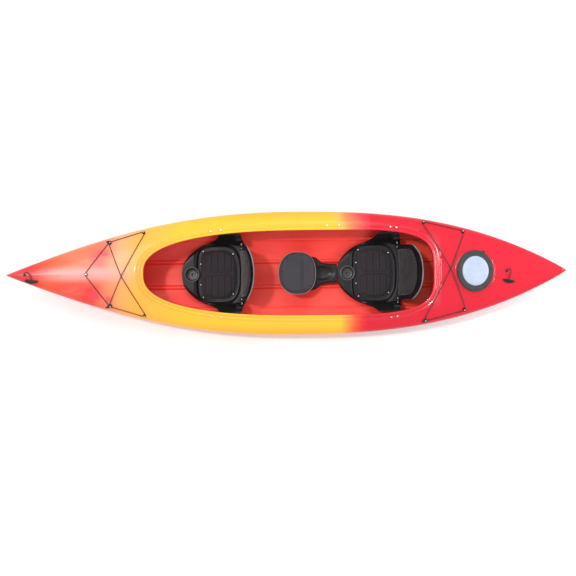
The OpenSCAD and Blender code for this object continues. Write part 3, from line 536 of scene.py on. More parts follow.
def inner_paint():
    """The bare inside of the moulding: less gloss, faint drag marks along the floor."""
    f = Finish("shell_inside", roughness=0.42, Specular_IOR_Level=0.4)
    x = f.split()[0]
    cloud = f.noise(5, 4, 0.6, f.stretched(0.4, 1, 1))
    base = f.ramp(cloud, [(0.3, rgb(238, 44, 40)), (0.7, rgb(250, 72, 56))])
    stern = f.band(x, -0.75, -1.0, 0, 0.6, True)
    base = f.blend(stern, base, rgb(240, 66, 34))
    f.colour(base)
    drag = f.noise(60, 4, 0.7, f.stretched(0.06, 1, 1))
    f.rough(drag, 0.34, 0.5)
    f.bump((f.noise(300, 3), 0.2, 0.0003), (drag, 0.12, 0.0006))
    return f.mat


def moulded_plastic(name, dark, light, low=0.3, high=0.48, grain=900.0, specular=0.5):
    """Moulded plastic with a fine pebble and a faint cloudy haze."""
    f = Finish(name, Specular_IOR_Level=specular)
    haze = f.noise(14, 4, 0.6)
    f.colour(f.ramp(haze, [(0.32, dark), (0.72, light)]))
    f.rough(f.noise(45, 4, 0.65), low, high)
    f.bump((f.cells(grain), 0.18, 0.0003), (f.noise(30, 3), 0.1, 0.0012))
    return f.mat


def rubber(name, dark, light):
    f = Finish(name, Specular_IOR_Level=0.35)
    dust = f.noise(26, 5, 0.7)
    f.colour(f.ramp(dust, [(0.3, dark), (0.75, light)]))
    f.rough(dust, 0.5, 0.72)
    f.bump((f.noise(700, 3), 0.3, 0.0003), (f.noise(60, 2), 0.1, 0.0008))
    return f.mat


def metal(name, colour, low, high, brushed):
    """Satin metal, brushed along X."""
    f = Finish(name, metallic=1.0)
    lines = f.noise(900, 3, 0.6, f.stretched(brushed, 1, 1))
    f.colour(f.ramp(f.noise(80, 3), [(0.3, tuple(0.82 * c for c in colour[:3]) + (1,)), (0.7, colour)]))
    f.rough(lines, low, high)
    f.bump((lines, 0.15, 0.0002),)
    return f.mat


def upholstery(name, dark, light, pitch=1.3):
    """Coarse plain weave over foam, with a soft sheen. pitch is in millimetres."""
    f = Finish(name, Sheen_Weight=0.25, Sheen_Roughness=0.45, Specular_IOR_Level=0.3)
    scale = 0.5 / (pitch * MM)
    warp, weft = f.wave(scale, "X", 0.6), f.wave(scale, "Y", 0.6)
    weave = f.math("MULTIPLY", warp, weft)
    worn = f.noise(18, 4, 0.6)
    tone = f.math("ADD", f.math("MULTIPLY", weave, 0.35), f.math("MULTIPLY", worn, 0.65))
    f.colour(f.ramp(tone, [(0.25, dark), (0.7, light)]))
    f.rough(worn, 0.55, 0.78)
    f.bump((weave, 0.5, 0.0006), (f.noise(240, 3), 0.25, 0.0005))
    return f.mat


def braid(name, dark, light, scale):
    f = Finish(name, Sheen_Weight=0.3, Specular_IOR_Level=0.3)
    one = f.wave(scale, "DIAGONAL", 1.0)
    two = f.wave(scale, "DIAGONAL", 1.0, f.stretched(1, -1, 1))
    plait = f.math("MAXIMUM", one, two)
    f.colour(f.ramp(plait, [(0.3, dark), (0.9, light)]))
    f.rough(f.noise(200, 2), 0.5, 0.75)
    f.bump((plait, 0.6, 0.0006), (f.noise(1500, 2), 0.2, 0.0002))
    return f.mat


def foam(name, dark, light):
    f = Finish(name, Specular_IOR_Level=0.2)
    f.colour(f.ramp(f.noise(50, 4, 0.7), [(0.3, dark), (0.7, light)]))
    f.rough(f.noise(90, 3), 0.75, 0.95)
    f.bump((f.cells(420), 0.5, 0.0008),)
    return f.mat


def floor_finish():
    f = Finish("studio_floor", Specular_IOR_Level=0.1)
    f.colour(f.ramp(f.noise(3, 3), [(0.3, (0.86, 0.86, 0.86, 1)), (0.7, (0.9, 0.9, 0.9, 1))]))
    f.rough(f.noise(12, 3), 0.8, 0.95)
    return f.mat


DECK_PAINT = hull_paint()
INNER_PAINT = inner_paint()
PAN_PLASTIC = moulded_plastic("pan_plastic", rgb(15, 13, 15), rgb(29, 26, 29), 0.28, 0.44, 1100, 0.28)
# Pale grey plastic that paints the highlight along black rims: the backrest beads and the middle seat's
# piping.
PAINTED_HIGHLIGHT_PLASTIC = moulded_plastic("painted_highlight_plastic", rgb(84, 88, 88), rgb(118, 122, 120), 0.26, 0.4, 1100)
BLACK_PLASTIC = moulded_plastic("fitting_plastic", rgb(13, 12, 14), rgb(26, 24, 27), specular=0.3)
GREY_PLASTIC = moulded_plastic("pedal_plastic", rgb(70, 70, 74), rgb(92, 92, 96), 0.4, 0.6, 700)
CUP_PLASTIC = moulded_plastic("cup_plastic", rgb(46, 42, 44), rgb(70, 66, 68), 0.3, 0.45, 900)
PANEL_PLASTIC = moulded_plastic("hatch_panel_plastic", rgb(158, 170, 190), rgb(170, 181, 200),
                                0.34, 0.5, 1300, 0.45)
LID_RUBBER = rubber("hatch_rubber", rgb(38, 39, 41), rgb(60, 61, 63))
SEAL_RUBBER = rubber("seal_rubber", rgb(26, 26, 28), rgb(44, 44, 46))
STEEL = metal("stainless_steel", (0.80, 0.81, 0.83, 1), 0.22, 0.4, 0.2)
ALUMINIUM = metal("aluminium_strap", (0.72, 0.73, 0.75, 1), 0.3, 0.5, 0.05)
PAD_CLOTH = upholstery("seat_pad_cloth", rgb(27, 21, 27), rgb(46, 38, 47))
BACK_CLOTH = upholstery("back_pad_cloth", rgb(24, 20, 22), rgb(40, 35, 37), 1.6)
JUMP_SKIN = upholstery("middle_seat_skin", rgb(40, 38, 43), rgb(62, 60, 66), 1.0)
ROPE = braid("rope_braid", rgb(10, 9, 10), rgb(30, 28, 30), 300)
BUNGEE = braid("shock_cord_sheath", rgb(16, 10, 9), rgb(40, 28, 25), 380)
FOAM = foam("closed_cell_foam", rgb(44, 44, 47), rgb(66, 66, 70))


# ---- camera ----

CAMERA_SPOT, CAMERA_AIM = (-9.9, 240, 8000), (-9.9, 111.8, 300)
CAMERA_TURN = 179.436
VIEW_WIDTH, SENSOR_WIDTH = 4219.776, 36


def make_camera():
    """Almost straight down from 8 m, the bow to the left and port towards the bottom."""
    turn = math.radians(CAMERA_TURN)
    aim = Vector(CAMERA_AIM) * MM
    spot = Vector(CAMERA_SPOT) * MM
    camera = added("camera", bpy.data.cameras.new("camera"))
    right = Vector((math.cos(turn), math.sin(turn), 0))
    back = (spot - aim).normalized()
    up = back.cross(right).normalized()
    right = up.cross(back)
    camera.matrix_world = Matrix((right, up, back)).transposed().to_4x4()
    camera.location = spot
    camera.data.sensor_width = SENSOR_WIDTH
    camera.data.lens = SENSOR_WIDTH * (spot - aim).length / (VIEW_WIDTH * MM)
    camera.data.clip_end = 60
    bpy.context.scene.camera = camera


make_camera()


# ---- carry ropes ----

def carry_rope(end, rope_x, route):
    """A laid rope that leaves its grommet, leans over and ends in the toggle."""
    base = np.array([rope_x, 0, float(deck_z(rope_x, 0))])
    path = curve(route, 10) + base
    obj = tube(f"{end}_carry_rope_laid", path, ROPE_D / 2, ROPE, None, sides=18, twist=0.1,
               lobes=3, lobe=0.12)
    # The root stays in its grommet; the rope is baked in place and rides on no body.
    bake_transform(obj)
    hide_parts(f"{end}_carry_rope")


for end, (rope_x, route) in CARRY_ROPES.items():
    carry_rope(end, rope_x, route)


# ---- hull ----

COAMING_TOP = [(47, 0), (42, 6), (36, 9), (29, 7), (24, 5), (18, 11), (10, 16), (3, 14), (0, 8),
               (0, -12)]
COAMING_UNDER = [(6, -12), (6, 2), (12, 8), (24, -2), (36, 3), (47, -6)]
FLOOR_RIB_Y, FLOOR_RIB_W, FLOOR_RIB_H = 95, 11, 12
CHINE_Y, CHINE_H = 256, 5


def floor_relief(points):
    """Two raised ribs and a chine line along the inside of the floor."""
    x, y = points[..., 0], np.abs(points[..., 1])
    fade = smooth((1250 - x) / 200) * smooth((x + 1250) / 200)
    rib = smooth(1.6 - np.abs(y - FLOOR_RIB_Y) / FLOOR_RIB_W) * FLOOR_RIB_H
    chine = smooth(1 - np.abs(y - CHINE_Y) / 9) * CHINE_H
    points[..., 2] += fade * (rib + chine)
    return points


def hull_shell():
    """The moulding: outside of the hull, deck, coaming, then back along the inner skin."""
    stations = 640
    a = around(stations)
    outer_lines = np.radians(np.linspace(90, 0, 37))
    deck_shares = np.linspace(0, 1, 47)[1:-1]
    # Inner lines keep an even spacing across the floor, for its ribs.
    inner_lines = np.arccos(np.linspace(1, 0, 84) ** 1.1)
    top = curve(COAMING_TOP, 4)
    under = curve(COAMING_UNDER, 3)
    rows = [hull_loop(a, t) for t in outer_lines]
    rows += [deck_loop(a, t) for t in deck_shares]
    rows += [coaming_loop(a, d, dz) for d, dz in top]
    edge = len(rows) - 1
    rows += [coaming_loop(a, d, dz) for d, dz in under]
    rows += [deck_loop(a, t, WALL) for t in deck_shares[::-4]]
    rows += [floor_relief(hull_loop(a, t, WALL)) for t in inner_lines]
    rows = np.array(rows)
    n = len(rows)
    faces = grid_faces(n, stations, round_cols=True)
    which = np.repeat(np.arange(n - 1) >= edge, stations).astype(int)
    shell = piece("hull_moulding", rows.reshape(-1, 3), faces, [DECK_PAINT, INNER_PAINT], "hull",
                  which)
    hole = oval(HATCH_A - 30, HATCH_B - 30, 96, HATCH_X)
    cut(shell, prism(hole, 240, 380))
    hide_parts("hull_shell")


def deck_bead(name, points, radius=3.2, sink=0.45):
    """A low bead moulded in the deck along points (x, y)."""
    line = curve([(*p, 0) for p in points], 8)[:, :2]
    path = [(x, y, float(deck_z(x, y)) - radius * sink) for x, y in line]
    bead = tube(name, path, radius, DECK_PAINT, "hull", sides=14)


def hatch_plinth():
    """The flat that the hatch ring is screwed to, with a fillet down to the deck."""
    profile = [(17, None), (12, 1.5), (9, -11), (8, -4), (6.5, -1), (4, 0), (-30, 0), (-32, -3),
               (-32, -26), (-26, -30), (-20, -30)]
    rings = []
    for out, dz in profile:
        ring = oval(HATCH_A + out, HATCH_B + out, 160, HATCH_X)
        ground = deck_z(ring[:, 0], ring[:, 1])
        if dz is None:
            z = ground - 1.5
        elif dz > 0:
            z = ground + dz
        else:
            z = np.maximum(HATCH_Z + dz, ground + 2) if out > 5 else np.full(len(ring), HATCH_Z + dz)
        rings.append(np.column_stack([ring, z]))
    plinth = lofted("hatch_plinth", rings, DECK_PAINT, "hull", caps=False)


hull_shell()
hatch_plinth()
arc = [(HATCH_X - 150 * math.cos(t), 172 * math.sin(t)) for t in np.linspace(-0.62, 0.62, 7)]
deck_bead("stern_deck_arc", arc, 4)
for side, label in ((1, "port"), (-1, "starboard")):
    ridge = [(-1340, side * 186), (-1385, side * 192), (-1420, side * 186)]
    deck_bead(f"stern_deck_ridge_{label}", ridge, 3.5)
deck_bead("bow_deck_crease_aft", [(1388, -125), (1350, -142), (1310, -150)], 3.2)
deck_bead("bow_deck_crease_fore", [(1650, 118), (1560, 138), (1470, 140)], 3.2)


# ---- seats ----

PAN_BED, PAN_RIM, PAN_SHELF, PAN_T = 66, 86, 94, 4.5
PAD_X, PAD_L, PAD_W, PAD_TAPER = -201, 147, 198, 0.03
PAN_EDGE = [(-416, 180), (-402, 214), (-392, 230), (-375, 293), (-220, 293), (-211, 278),
            (-200, 266), (-186, 256), (-150, 240), (-100, 223), (-55, 203), (-17, 177), (20, 144),
            (45, 115), (60, 92), (69, 64), (73, 40), (75, 14)]
CUP_R = 46


def pan_w(x):
    xs, ws = zip(*PAN_EDGE)
    return np.interp(x, xs, ws)


def pad_power(forward):
    return np.where(forward, 5, 2.8)


def bed_share(x, y, gap):
    """How far out a point is from the middle of the pad's bed: 1 on its outline."""
    n = pad_power(x > PAD_X)
    taper = 1 - PAD_TAPER * (x - PAD_X) / PAD_L
    u = np.abs(x - PAD_X) / (PAD_L + gap)
    return (u ** n + (np.abs(y) / (PAD_W + gap) / taper) ** n) ** (1 / n)


def pan_z(x, y):
    """Upper surface of the pan: shelf round the cup, bed sunk round the pad, wings."""
    y = np.abs(y)
    wing = smooth((-182 - x) / 32)
    edge = np.minimum(1, y / pan_w(x)) ** 14 * (1 - wing)
    rim = mix(PAN_RIM, PAN_SHELF, smooth((x + 42) / 30))
    roll = mix(0.09, 0.15, smooth((-260 - x) / 60))
    z = mix(PAN_BED, rim, smooth((bed_share(x, y, 7) - 1) / roll))
    climb = smooth((y - 212) / 80) ** 1.15
    corner = smooth((-318 - x) / 24)
    climb = mix(climb, smooth((y - 212) / 34) * (0.78 + 0.22 * smooth((y - 246) / 47)), corner)
    return z + 162 * climb - 24 * edge


def seat_pan(name, seat_x):
    """Blow-moulded pan: one continuous skin with rolled edges and a hole for the cup."""
    xs = np.concatenate([np.linspace(75, 60, 10), np.linspace(57, -28, 30), np.linspace(-30, -56, 16),
                         np.linspace(-60, -182, 36), np.linspace(-185, -220, 14),
                         np.linspace(-224, -416, 76)])
    shares = np.sin(np.linspace(-math.pi / 2, math.pi / 2, 121))
    shares = mix(np.linspace(-1, 1, 121), shares, 0.55)
    soft = np.array([np.mean(pan_w(np.clip(x + np.linspace(-6, 6, 13), -416, 75))) for x in xs])
    soft[:6] = pan_w(xs[:6])
    top = np.empty((len(xs), len(shares), 3))
    for i, x in enumerate(xs):
        y = shares * soft[i]
        top[i] = np.column_stack([np.full_like(y, x), y, pan_z(x, y)])
    slope = np.gradient(top[..., 2], axis=1) / np.gradient(top[..., 1], axis=1)
    bottom = top.copy()
    bottom[..., 2] -= PAN_T * np.minimum(2.6, np.sqrt(1 + slope ** 2))
    top[..., 0] += seat_x
    bottom[..., 0] += seat_x
    pan = slab(name, top[:, ::-1], bottom[:, ::-1], PAN_PLASTIC, "hull")
    cut(pan, prism(oval(CUP_R + 4.6, CUP_R + 4.6, 72, seat_x), 20, 160))
    return pan


def hinge_ears(name, seat_x):
    """Rounded ears on the pan that carry the backrest's bolts."""
    thick, y0, r = 6, 219, 17
    t = np.radians(np.linspace(0, 180, 25))
    outline = [(-r, 80)] + [(-r * math.cos(k), HINGE_Z + r * math.sin(k)) for k in t] + [(r, 80)]
    outline = np.array(outline)
    for side, label in SIDES:
        rings = []
        for dy, k in ((-thick / 2, 0.93), (-thick / 2 + 1, 1), (thick / 2 - 1, 1), (thick / 2, 0.93)):
            p = outline * (k, 1) + (0, (k - 1) * 20)
            across = np.full(len(p), side * y0 + dy)
            rings.append(np.column_stack([seat_x + HINGE_X + p[:, 0], across, p[:, 1]]))
        lofted(f"{name}_{label}", rings, PAN_PLASTIC, "hull")


def pad_outline(k, count=120):
    """Seat pad seen from above: small corners in front, large ones behind."""
    c, s = np.cos(around(count)), np.sin(around(count))
    r = rounded(c, s, pad_power(c > 0))
    x, y = PAD_L * r * c, PAD_W * r * s * (1 - PAD_TAPER * c)
    return np.column_stack([PAD_X + x * k, y * k])


def puffed(obj, pressure, cap, voxel=0.0048, floor=None):
    """Fills a pad by cloth simulation with inner pressure. No point moves further than cap."""
    remesh = obj.modifiers.new("remesh", "REMESH")
    remesh.mode = "VOXEL"
    remesh.voxel_size = voxel
    apply_modifiers(obj)
    before = points_of(obj)
    cloth = obj.modifiers.new("cloth", "CLOTH")
    cloth.settings.use_pressure = True
    cloth.settings.uniform_pressure_force = pressure
    cloth.settings.effector_weights.gravity = 0
    cloth.settings.quality = 5
    cloth.collision_settings.use_collision = False
    scene = bpy.context.scene
    for number in range(1, 21):
        scene.frame_set(number)
    apply_modifiers(obj)
    scene.frame_set(1)
    after = points_of(obj)
    move = after - before
    far = np.linalg.norm(move, axis=1, keepdims=True)
    after = before + move * np.minimum(1, cap / np.maximum(far, 1e-6))
    if floor is not None:
        after[:, 2] = np.maximum(after[:, 2], floor)
    set_points(obj, after)
    sub = obj.modifiers.new("smooth", "SUBSURF")
    sub.levels = sub.render_levels = 1
    apply_modifiers(obj)


def copied(obj, name, shift):
    twin = obj.copy()
    twin.data = obj.data.copy()
    twin.name = name
    bpy.context.scene.collection.objects.link(twin)
    twin.data.transform(Matrix.Translation(Vector(shift) * MM))
    return twin


RIB_PITCH = 49.5


def seat_pad_shape():
    """The seat pad at the cup's origin: filled, then pressed into ribs on each side of a spine."""
    z0 = 67.2
    rings = [np.column_stack([pad_outline(k), np.full(120, z0 + z)])
             for k, z in ((0.90, 0), (0.955, 2), (0.97, 6), (0.955, 10), (0.90, 12.5))]
    pad = lofted("seat_pad_form", rings, PAD_CLOTH, None)
    puffed(pad, 4.0, 7, floor=z0)
    p = points_of(pad)
    x, y, z = p[:, 0] - PAD_X, np.abs(p[:, 1]), p[:, 2]
    upper = smooth((z - z0 - 5) / 5)
    # Ribs run athwart: a deep channel at each pitch and a faint one between, up to a plain spine
    # that widens at both ends.
    phase = (x + 98) / RIB_PITCH
    deep = bell((phase - np.round(phase)) * RIB_PITCH, 5.5)
    faint = bell(np.abs(phase % 1 - 0.5) * RIB_PITCH, 3.5)
    field = smooth((124 - x) / 8) * smooth((x + 136) / 8) * smooth((190 - y) / 8)
    spine = 11 + 34 * smooth((-x - 75) / 65) + 30 * smooth((x - 55) / 80)
    off_spine = smooth((y - spine) / 5)
    side = bell(y - spine, 4.0) * field
    drop = field * off_spine * (6.0 * deep + 2.4 * faint) + 4.6 * side
    pucker = sum(4.0 * bell(np.hypot(p[:, 0] - sx, p[:, 1] - sy), 14) for sx, sy in STUDS)
    p[:, 2] -= upper * (drop + pucker)
    set_points(pad, p)
    return pad


RIVET_Z = 81.5
STUDS = [(-84, 174), (-84, -174), (-66, 78), (-66, -78), (-311, 151), (-311, -151)]


def stud(name, seat_x, x, y):
    """A domed rivet on a small washer."""
    profile = [(7.5, 0), (7.5, 0.9), (5.6, 1.3), (5.2, 2.6), (4.0, 4.0), (2.0, 4.8), (0.3, 5.0)]
    rings = [level_oval(r, r, RIVET_Z + z, 28, seat_x + x, y) for r, z in profile]
    return lofted(name, rings, STEEL, "hull")


def cup(name, seat_x):
    """Cup insert: rolled flange, tapered bore with a step, and a dished floor."""
    top = 97.6
    profile = [(57, -2.6), (57.4, -1.2), (56.4, 0.2), (53.5, 0.8), (50.5, 0.2), (48.6, -0.6),
               (47, -3), (46, -8), (45.4, -26), (44.0, -28), (43.4, -54), (41, -57), (30, -58.4),
               (14, -57.6), (0.5, -57.4)]
    under = [(0.5, -61), (44, -61.4), (47.6, -57), (49.6, -20), (50, -3.4), (56, -3.2), (57, -2.6)]
    rings = [level_oval(r, r, top + z, 96, seat_x) for r, z in (profile + under)[::-1]]
    return lofted(name, rings, CUP_PLASTIC, "hull", caps=False)


BACK_H = 300


def back_w(t):
    return (206 - 8 * smooth(t) - 22 * np.maximum(0, (t - 0.8) / 0.2) ** 2
            - 10 * np.maximum(0, -t / 0.05) ** 2)


def back_x(t, v):
    return -6 - (10 + 22 * smooth(t)) * (1 - v * v) + 8 * np.sin(t * math.pi)


def back_point(t, v, inset=0.0):
    return np.stack([back_x(t, v), v * (back_w(t) - inset),
                     t * (BACK_H - 50 * np.abs(v) ** 3.5)], -1)


def leaned(points, seat_x, lean):
    """From the backrest's own frame, hinge at the origin, to the boat's."""
    a = math.radians(-lean)
    p = np.asarray(points, float)
    x = p[..., 0] * math.cos(a) + p[..., 2] * math.sin(a)
    z = -p[..., 0] * math.sin(a) + p[..., 2] * math.cos(a)
    return np.stack([x + seat_x + HINGE_X, p[..., 1], z + HINGE_Z], -1)


def backrest_shell(name, seat_x, lean, body):
    """Thin moulded back with a rolled rim along its top and sides."""
    ts = np.linspace(1, -0.05, 56)
    vs = np.sin(np.linspace(-math.pi / 2, math.pi / 2, 73))
    t, v = np.meshgrid(ts, vs, indexing="ij")
    front = back_point(t, v)
    rim = np.maximum(smooth((np.abs(v) - 0.93) / 0.06), smooth((t - 0.955) / 0.03)) * (t > 0.1)
    front[..., 0] += 3.5 * rim
    rear = front.copy()
    rear[..., 0] -= 5 + 1.5 * rim
    rear[..., 0] -= 2.2 * smooth(1 - np.abs((t * 5) % 1 - 0.5) * 6) * (np.abs(v) < 0.7)
    shell = slab(name, leaned(front, seat_x, lean), leaned(rear, seat_x, lean), PAN_PLASTIC, body)
    # A rolled bead along the top edge and its corners, in a pale grey that paints the highlight on the black
    # rim.
    path = back_point(np.ones(41), np.linspace(-0.985, 0.985, 41)) + (-1.5, 0, -0.5)
    down = back_point(np.linspace(0.97, 0.8, 6), np.ones(6)) + (-1.5, -1, 0)
    path = np.concatenate([(down * (1, -1, 1))[::-1], path, down])
    bead = tube(f"{name}_bead", leaned(path, seat_x, lean), 4.6, PAINTED_HIGHLIGHT_PLASTIC, body, sides=14)
    return shell


def trunnions(name, seat_x, lean, body):
    """Round bosses at the foot of the backrest, where the hinge bolts go through."""
    for side, label in SIDES:
        rings = []
        for dy, r in ((-8.5, 4.2), (-8.5, 12.5), (-7.3, 14), (7.3, 14), (8.5, 12.5), (8.5, 4.2)):
            t = around(48)
            across = np.full(48, side * 203.5 + dy)
            ring = np.column_stack([-3 * (r > 5) + r * np.cos(t), across, -r * np.sin(t)])
            rings.append(ring[::-1])
        points = leaned(np.array(rings), seat_x, lean)
        boss = piece(f"{name}_{label}", points.reshape(-1, 3), grid_faces(6, 48, True, True),
                     PAN_PLASTIC, body)


def back_pad_shape():
    """The backrest's pad in its own frame, filled by simulation, with soft creases."""
    ts = np.linspace(0.84, 0.02, 40)
    vs = np.linspace(-0.99, 0.99, 56)
    t, v = np.meshgrid(ts, vs, indexing="ij")
    back = back_point(t, v, 22)
    back[..., 0] += 3.0
    # Round the upper corners.
    trim = 1 - 0.10 * smooth((t - 0.70) / 0.2) * np.abs(v) ** 3
    back[..., 1] *= trim
    swell = 8 + 6 * np.sin(math.pi * np.minimum(1, 1.3 * t))
    front = back.copy()
    front[..., 0] += 2 + swell * (1 - np.abs(v) ** 8) * (1 - np.abs(t / 0.43 - 1) ** 10)
    pad = slab("back_pad_form", front, back, BACK_CLOTH, None)
    puffed(pad, 3.5, 7)
    p = points_of(pad)
    face = smooth((p[:, 0] - back_x(np.clip(p[:, 2] / BACK_H, 0, 1), p[:, 1] / 200) - 8) / 6)
    wrinkle = np.array([noise.fractal(Vector((y / 60, z / 26, 3.7)), 0.9, 2.1, 3)
                        for _, y, z in p])
    seam = bell(p[:, 2] - 0.78 * (BACK_H - 50 * np.abs(p[:, 1] / 200) ** 3.5), 3.5)
    p[:, 0] += face * (2.2 * wrinkle - 3.2 * seam)
    set_points(pad, p)
    return pad


def make_seats():
    seat_form = seat_pad_shape()
    back_form = back_pad_shape()
    for seat, (seat_x, lean) in SEATS.items():
        body = f"{seat}_backrest"
        pan = seat_pan(f"{seat}_pan_skin", seat_x)
        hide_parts(f"{seat}_seat_pan")
        hinge_ears(f"{seat}_hinge_ear", seat_x)
        pad = copied(seat_form, f"{seat}_pad_cover", (seat_x, 0, 0))
        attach(pad, "hull")
        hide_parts(f"{seat}_seat_pad")
        for k, (x, y) in enumerate(STUDS):
            one = stud(f"{seat}_pad_rivet_{k + 1}", seat_x, x, y)
            if k == 0:
                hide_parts(f"{seat}_pad_studs")
        liner = cup(f"{seat}_cup_liner", seat_x)
        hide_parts(f"{seat}_cup_insert")
        shell = backrest_shell(f"{seat}_back_shell", seat_x, lean, body)
        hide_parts(f"{seat}_backrest_frame")
        trunnions(f"{seat}_trunnion", seat_x, lean, body)
        back = copied(back_form, f"{seat}_back_cover", (0, 0, 0))
        set_points(back, leaned(points_of(back), seat_x, lean))
        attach(back, body)
        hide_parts(f"{seat}_backrest_pad")
    bpy.data.objects.remove(seat_form)
    bpy.data.objects.remove(back_form)


make_seats()


# ---- middle seat ----

def jump_ring(k, z, count=144):
    c, s = np.cos(around(count)), np.sin(around(count))
    r = rounded(c, s, np.where(c > 0, 2.2, 2.45))
    return np.column_stack([JUMP_X + 140 * k * r * c, 160 * k * r * s, np.full(count, z)])


def middle_cushion():
    """Dished saddle that rises to a crest behind, with a piped edge."""
    rings = [jump_ring(k, JUMP_TOP + z) for k, z in
             ((0.88, 1), (0.955, 2), (0.975, 7), (0.965, 13), (0.90, 17), (0.6, 17), (0.3, 17))]
    cushion = lofted("middle_seat_cover", rings, JUMP_SKIN, None)
    puffed(cushion, 3.0, 6, floor=JUMP_TOP + 0.5)
    p = points_of(cushion)
    x, y = (p[:, 0] - JUMP_X) / 140, p[:, 1] / 160
    upper = smooth((p[:, 2] - JUMP_TOP - 6) / 6)
    inside = smooth((0.9 - np.maximum(np.abs(x), np.abs(y))) / 0.3)
    dish = -11 * smooth(1 - ((x - 0.25) / 0.8) ** 2 - (y / 1.0) ** 2)
    crest = 11 * bell(x + 0.40, 0.17) * (1 - 0.4 * y * y)
    slope = -8 * smooth((-0.44 - x) / 0.3)
    radius = (np.abs(x) ** 2.5 + np.abs(y) ** 2.5) ** (1 / 2.5)
    welt = 2.6 * bell(radius - 0.93, 0.022) - 2.2 * bell(radius - 0.87, 0.02)
    p[:, 2] += upper * (inside * (dish + crest + slope) + welt)
    set_points(cushion, p)
    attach(cushion, "middle_seat")
    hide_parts("jump_seat_cushion")
    # The piping is pale grey: a painted highlight along the cushion's edge.
    edge = jump_ring(0.975, JUMP_TOP + 12.5, 120)
    rings = []
    for k in range(120):
        out = edge[k] - (JUMP_X, 0, JUMP_TOP + 12.5)
        out = out / np.linalg.norm(out)
        a = around(10)
        rings.append(edge[k] + 2.6 * (np.outer(np.cos(a), out) + np.outer(np.sin(a), (0, 0, 1))))
    piping = piece("middle_seat_piping", np.array(rings).reshape(-1, 3),
                   grid_faces(120, 10, True, True, flip=True), PAINTED_HIGHLIGHT_PLASTIC, "middle_seat")


def middle_base():
    """Waisted pedestal with a rolled rim under the cushion."""
    outer = [(0.80, 14), (0.835, 14.4), (0.85, 18), (0.82, 34), (0.775, 60), (0.745, 88), (0.745, 112),
             (0.78, 134), (0.86, 152), (0.95, 163), (0.975, 166), (0.978, 169.5), (0.965, 171.6)]
    inner = [(0.93, 171.4), (0.90, 164), (0.80, 146), (0.70, 112), (0.70, 88), (0.74, 60), (0.80, 14)]
    rings = np.array([jump_ring(k, z) for k, z in outer + inner])
    base = piece("middle_seat_pedestal", rings.reshape(-1, 3), grid_faces(len(rings), 144, True),
                 PAN_PLASTIC, "middle_seat")
    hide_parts("jump_seat_base")


TONGUE_EDGE = [(-300, 70), (-212, 74), (-185, 82), (-165, 98), (-147, 117), (-100, 130)]


def middle_tongue():
    """Low tongue that runs back to the rear seat: dished along the middle, flat at its corners."""
    xs = np.linspace(-99, -300, 80)
    vs = np.linspace(-1, 1, 57)
    x, v = np.meshgrid(xs, vs, indexing="ij")
    half = [np.mean(np.interp(k + np.linspace(-9, 9, 13), *zip(*TONGUE_EDGE))) for k in xs]
    y = v * np.array(half)[:, None]
    rim = 92 - 7 * smooth((-205 - x) / 90) - 14 * np.abs(v) ** 18
    bowl = np.maximum(0, 1 - ((x + 190) / 100) ** 2 - (y / 64) ** 2)
    z = rim - 20 * smooth(0.95 * bowl)
    top = np.stack([x + JUMP_X, y, z], -1)
    bottom = top.copy()
    bottom[..., 2] = 60 - 2 * np.abs(v) ** 4
    tongue = slab("middle_seat_tongue", top[:, ::-1], bottom[:, ::-1], PAN_PLASTIC, "middle_seat")


middle_cushion()
middle_base()
middle_tongue()


# ---- hatch ----

def hatch_rings(profile):
    return [level_oval(HATCH_A + da, HATCH_B + db, HATCH_Z + z, 160, HATCH_X) for da, db, z in profile]


def hatch_cover():
    """Rubber cover with a rounded skirt, a raised bead and a rolled inner edge, its panel and tab."""
    profile = [(-14, -14, 9.6), (-2, -2, 9.6), (0, 0, 10.6), (0.4, 0.4, 13), (-0.6, -0.6, 17),
               (-3, -3, 20.5), (-7, -7, 22.8), (-12, -12, 24), (-17, -18, 24.2), (-22, -25, 23.4),
               (-25, -29, 22.6), (-28, -33, 23.2), (-31, -37, 24.2), (-34, -40.5, 24),
               (-35.5, -42, 22.6), (-35.6, -42, 16), (-33, -38, 15.4), (-14, -16, 15.4),
               (-14, -14, 9.6)]
    lid = lofted("hatch_cover_skin", hatch_rings(profile), LID_RUBBER, "hatch_cover", caps=False)
    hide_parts("hatch_lid")
    panel = [(-36, -42.4, 15.6), (-36, -42.4, 20.5), (-37, -43.4, 22), (-41, -47.4, 23.4),
             (-46, -52.4, 25.4), (-48, -54.4, 25.9), (-70, -76, 26.3), (-100, -110, 26.6), (-130, -148, 26.7)]
    plate = lofted("hatch_panel_plate", hatch_rings(panel), PANEL_PLASTIC, "hatch_cover")
    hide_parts("hatch_lid_panel")
    angle = math.radians(245)
    cx, cy = HATCH_X + HATCH_A * math.cos(angle), HATCH_B * math.sin(angle)
    tab = [level_oval(r, r * 0.8, HATCH_Z + z, 40, cx, cy)
           for r, z in ((10, 16.6), (13, 17), (14, 18.5), (13.4, 21), (10, 22.2), (4, 22.6))]
    lofted("hatch_pull_tab", tab, LID_RUBBER, "hatch_cover")


hatch_cover()


# ---- ends of the deck lines ----

NECK_OFF, NECK_LIFT, KNOT_GAP = 9.2, 3.9, 26


def line_end(name, button, other, side, knot):
    """The last of a shock cord, from its taut run past the button's neck into an overhand knot."""
    button, d = np.array(button, float), np.subtract(other, button).astype(float)
    d /= np.linalg.norm(d)
    beside = button + side * NECK_OFF * np.array([-d[1], d[0]])
    spots = [beside + (KNOT_GAP + 3) * d, beside + 8 * d, beside - 6 * d, np.array(knot, float)]
    path = []
    for x, y in spots:
        n = np.array(deck_normal(x, y))
        path.append(np.array([x, y, float(deck_z(x, y))]) + (BUNGEE_D / 2 + NECK_LIFT) * n)
    cord = tube(name, curve(path, 6), BUNGEE_D / 2, BUNGEE, "hull", sides=12)


